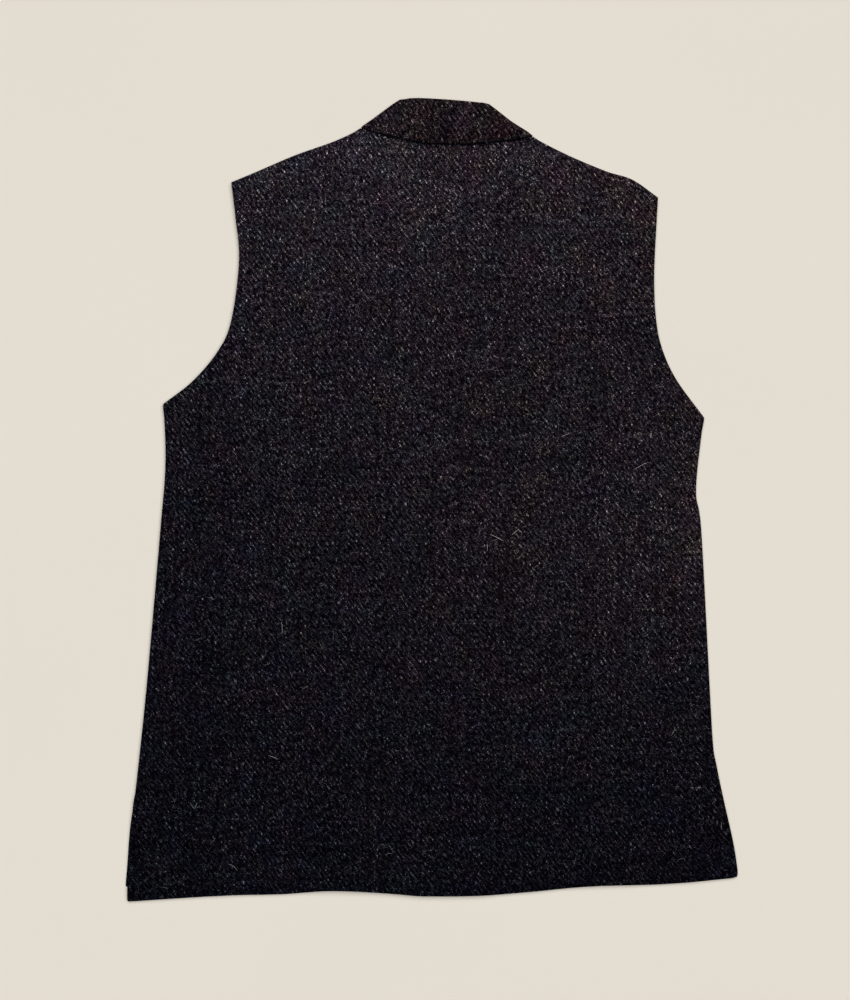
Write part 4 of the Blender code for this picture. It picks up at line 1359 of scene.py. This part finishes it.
def cloth_heights(tree, plan, way):
    """Heights of the cloth's upper face over the plan, or of its lower face; nan past its edge."""
    heights = np.full(plan.shape[:2], np.nan)
    for strand, line in enumerate(plan * MM):
        for point, (x, y) in enumerate(line):
            hit = tree.ray_cast((x, y, way * CAST_FROM), (0.0, 0.0, -way))[0]
            if hit is None:
                break
            heights[strand, point] = hit.z / MM
    return heights


def bent_strokes(starts, sizes, turns, curls):
    """Plan paths of hairs, each an arc with its own start, length, direction and curl in radians."""
    share = np.linspace(0.0, 1.0, HAIR_POINTS)
    angle = turns[:, None] + curls[:, None] * share
    run = np.stack([np.sin(angle), np.cos(angle)], axis=-1) * (sizes / (HAIR_POINTS - 1))[:, None, None]
    return starts[:, None] + np.cumsum(run, axis=1) - run[:, :1]


def add_hairs(name, tree, plan, radii, lights, way):
    """Hairs on the upper face where way is 1 and on the lower one where it is -1."""
    heights = cloth_heights(tree, plan, way)
    steady = np.ptp(heights, axis=1) < HAIR_STEADY
    arch = np.sin(math.pi * np.linspace(0.0, 1.0, HAIR_POINTS))
    z = heights + HAIR_RIDE * (HAIR_ARCH * arch - HAIR_SINK) * way
    if way < 0.0:
        steady &= z.min(axis=1) > UNDER_CLEAR
    paths = np.concatenate([plan, z[..., None]], axis=-1)[steady]
    taper = HAIR_TIP + (1.0 - HAIR_TIP) * arch ** 0.5
    piece = strands(name, paths, radii[steady, None] * taper, kemp, lights[steady])
    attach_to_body(piece, "root")


def drawn(column, counts):
    """Random values for each kind of hair, in the range that its row gives."""
    return np.concatenate([random.uniform(*getattr(kind, column), count)
                           for kind, count in zip(HAIR_KINDS, counts)])


random = np.random.default_rng(HAIR_SEED)
tree = cloth_tree()
kemp = hair_material()
low, high = (np.array(corner)[:2] / MM for corner in cad_box)
x, y, sizes, turns, curls, lights = np.array([hair[1:] for hair in LONG_HAIRS]).T
long_hairs = (np.stack([x, y], axis=1), sizes, np.radians(turns), np.radians(curls),
              np.full(len(x), LONG_RADIUS), lights)
for name, way, amount in (("kemp_upper", 1.0, 1.0), ("kemp_under", -1.0, UNDER_SHARE)):
    counts = [int(kind.number * amount) for kind in HAIR_KINDS]
    total = sum(counts)
    hairs = [random.uniform(low, high, (total, 2)), drawn("lengths", counts),
             random.uniform(-math.pi, math.pi, total), random.normal(0.0, HAIR_CURL, total),
             drawn("radii", counts), drawn("lights", counts)]
    if way > 0.0:
        hairs = [np.concatenate(pair) for pair in zip(hairs, long_hairs)]
    add_hairs(name, tree, bent_strokes(*hairs[:4]), *hairs[4:], way)


# Lights and camera; a lamp's size is its width and length in metres, or the angle of a sun in degrees
Lamp = namedtuple("Lamp", "name kind place target power colour size")
LAMPS = (
    Lamp("floor light", "SUN", (0.4, 0.7, 3.0), (0.0, 0.0, 0.0), 3.09, (1.0, 0.985, 0.970), 70.0),
    Lamp("sky fill", "AREA", (0.0, 0.0, 2.2), (0.0, 0.0, 0.0), 10.6, (0.68, 0.83, 1.0), (2.4, 2.4)),
    Lamp("window", "AREA", (-0.15, 0.70, 0.30), (-0.1, 0.15, 0.0), 2.65, (1.0, 0.84, 0.69), (0.35, 0.35)),
    Lamp("warm window", "AREA", (0.35, 0.65, 0.30), (0.2, 0.15, 0.0), 2.3, (1.0, 0.69, 0.40), (0.3, 0.3)),
    Lamp("side", "AREA", (0.35, -0.03, 0.040), (0.26, -0.03, 0.0), 0.56, (1.0, 0.77, 0.50), (0.05, 0.95)),
)
BACKGROUND_COLOUR = (1.0, 0.985, 0.965, 1.0)
BACKGROUND_STRENGTH = 0.88
VIEW_HEIGHT = 0.980  # length of the surface that the picture's long side takes in
CAMERA_DISTANCE = 2.2
CAMERA_CENTRE = (-0.0060, 0.0002)
SENSOR_WIDTH = 36.0
GARMENT_TOP = 0.006  # height that the camera's distance is counted from

world = bpy.data.worlds.new("studio")
scene.world = world
world.use_nodes = True
background = world.node_tree.nodes["Background"]
background.inputs["Color"].default_value = BACKGROUND_COLOUR
background.inputs["Strength"].default_value = BACKGROUND_STRENGTH
world.cycles_visibility.diffuse = False

# The sun lights the floor alone, and the other lamps the garment alone
ground = bpy.data.collections.new("ground")
scene.collection.children.link(ground)
ground.objects.link(floor)
for lamp in LAMPS:
    light = bpy.data.lights.new(lamp.name, lamp.kind)
    light.energy, light.color = lamp.power, lamp.colour
    if lamp.kind == "SUN":
        light.angle = math.radians(lamp.size)
    else:
        light.shape = "RECTANGLE"
        light.size, light.size_y = lamp.size
    holder = bpy.data.objects.new(lamp.name, light)
    scene.collection.objects.link(holder)
    holder.location = lamp.place
    holder.rotation_euler = (Vector(lamp.target) - Vector(lamp.place)).to_track_quat("-Z", "Y").to_euler()
    holder.light_linking.receiver_collection = ground if lamp.kind == "SUN" else garment

camera = bpy.data.cameras.new("camera")
camera_object = bpy.data.objects.new("camera", camera)
scene.collection.objects.link(camera_object)
bpy.context.scene.camera = camera_object
camera_object.location = (*CAMERA_CENTRE, CAMERA_DISTANCE + GARMENT_TOP)
camera.sensor_width = SENSOR_WIDTH
camera.lens = SENSOR_WIDTH * CAMERA_DISTANCE / VIEW_HEIGHT
scene.view_settings.view_transform = "Standard"
scene.view_settings.look = "None"
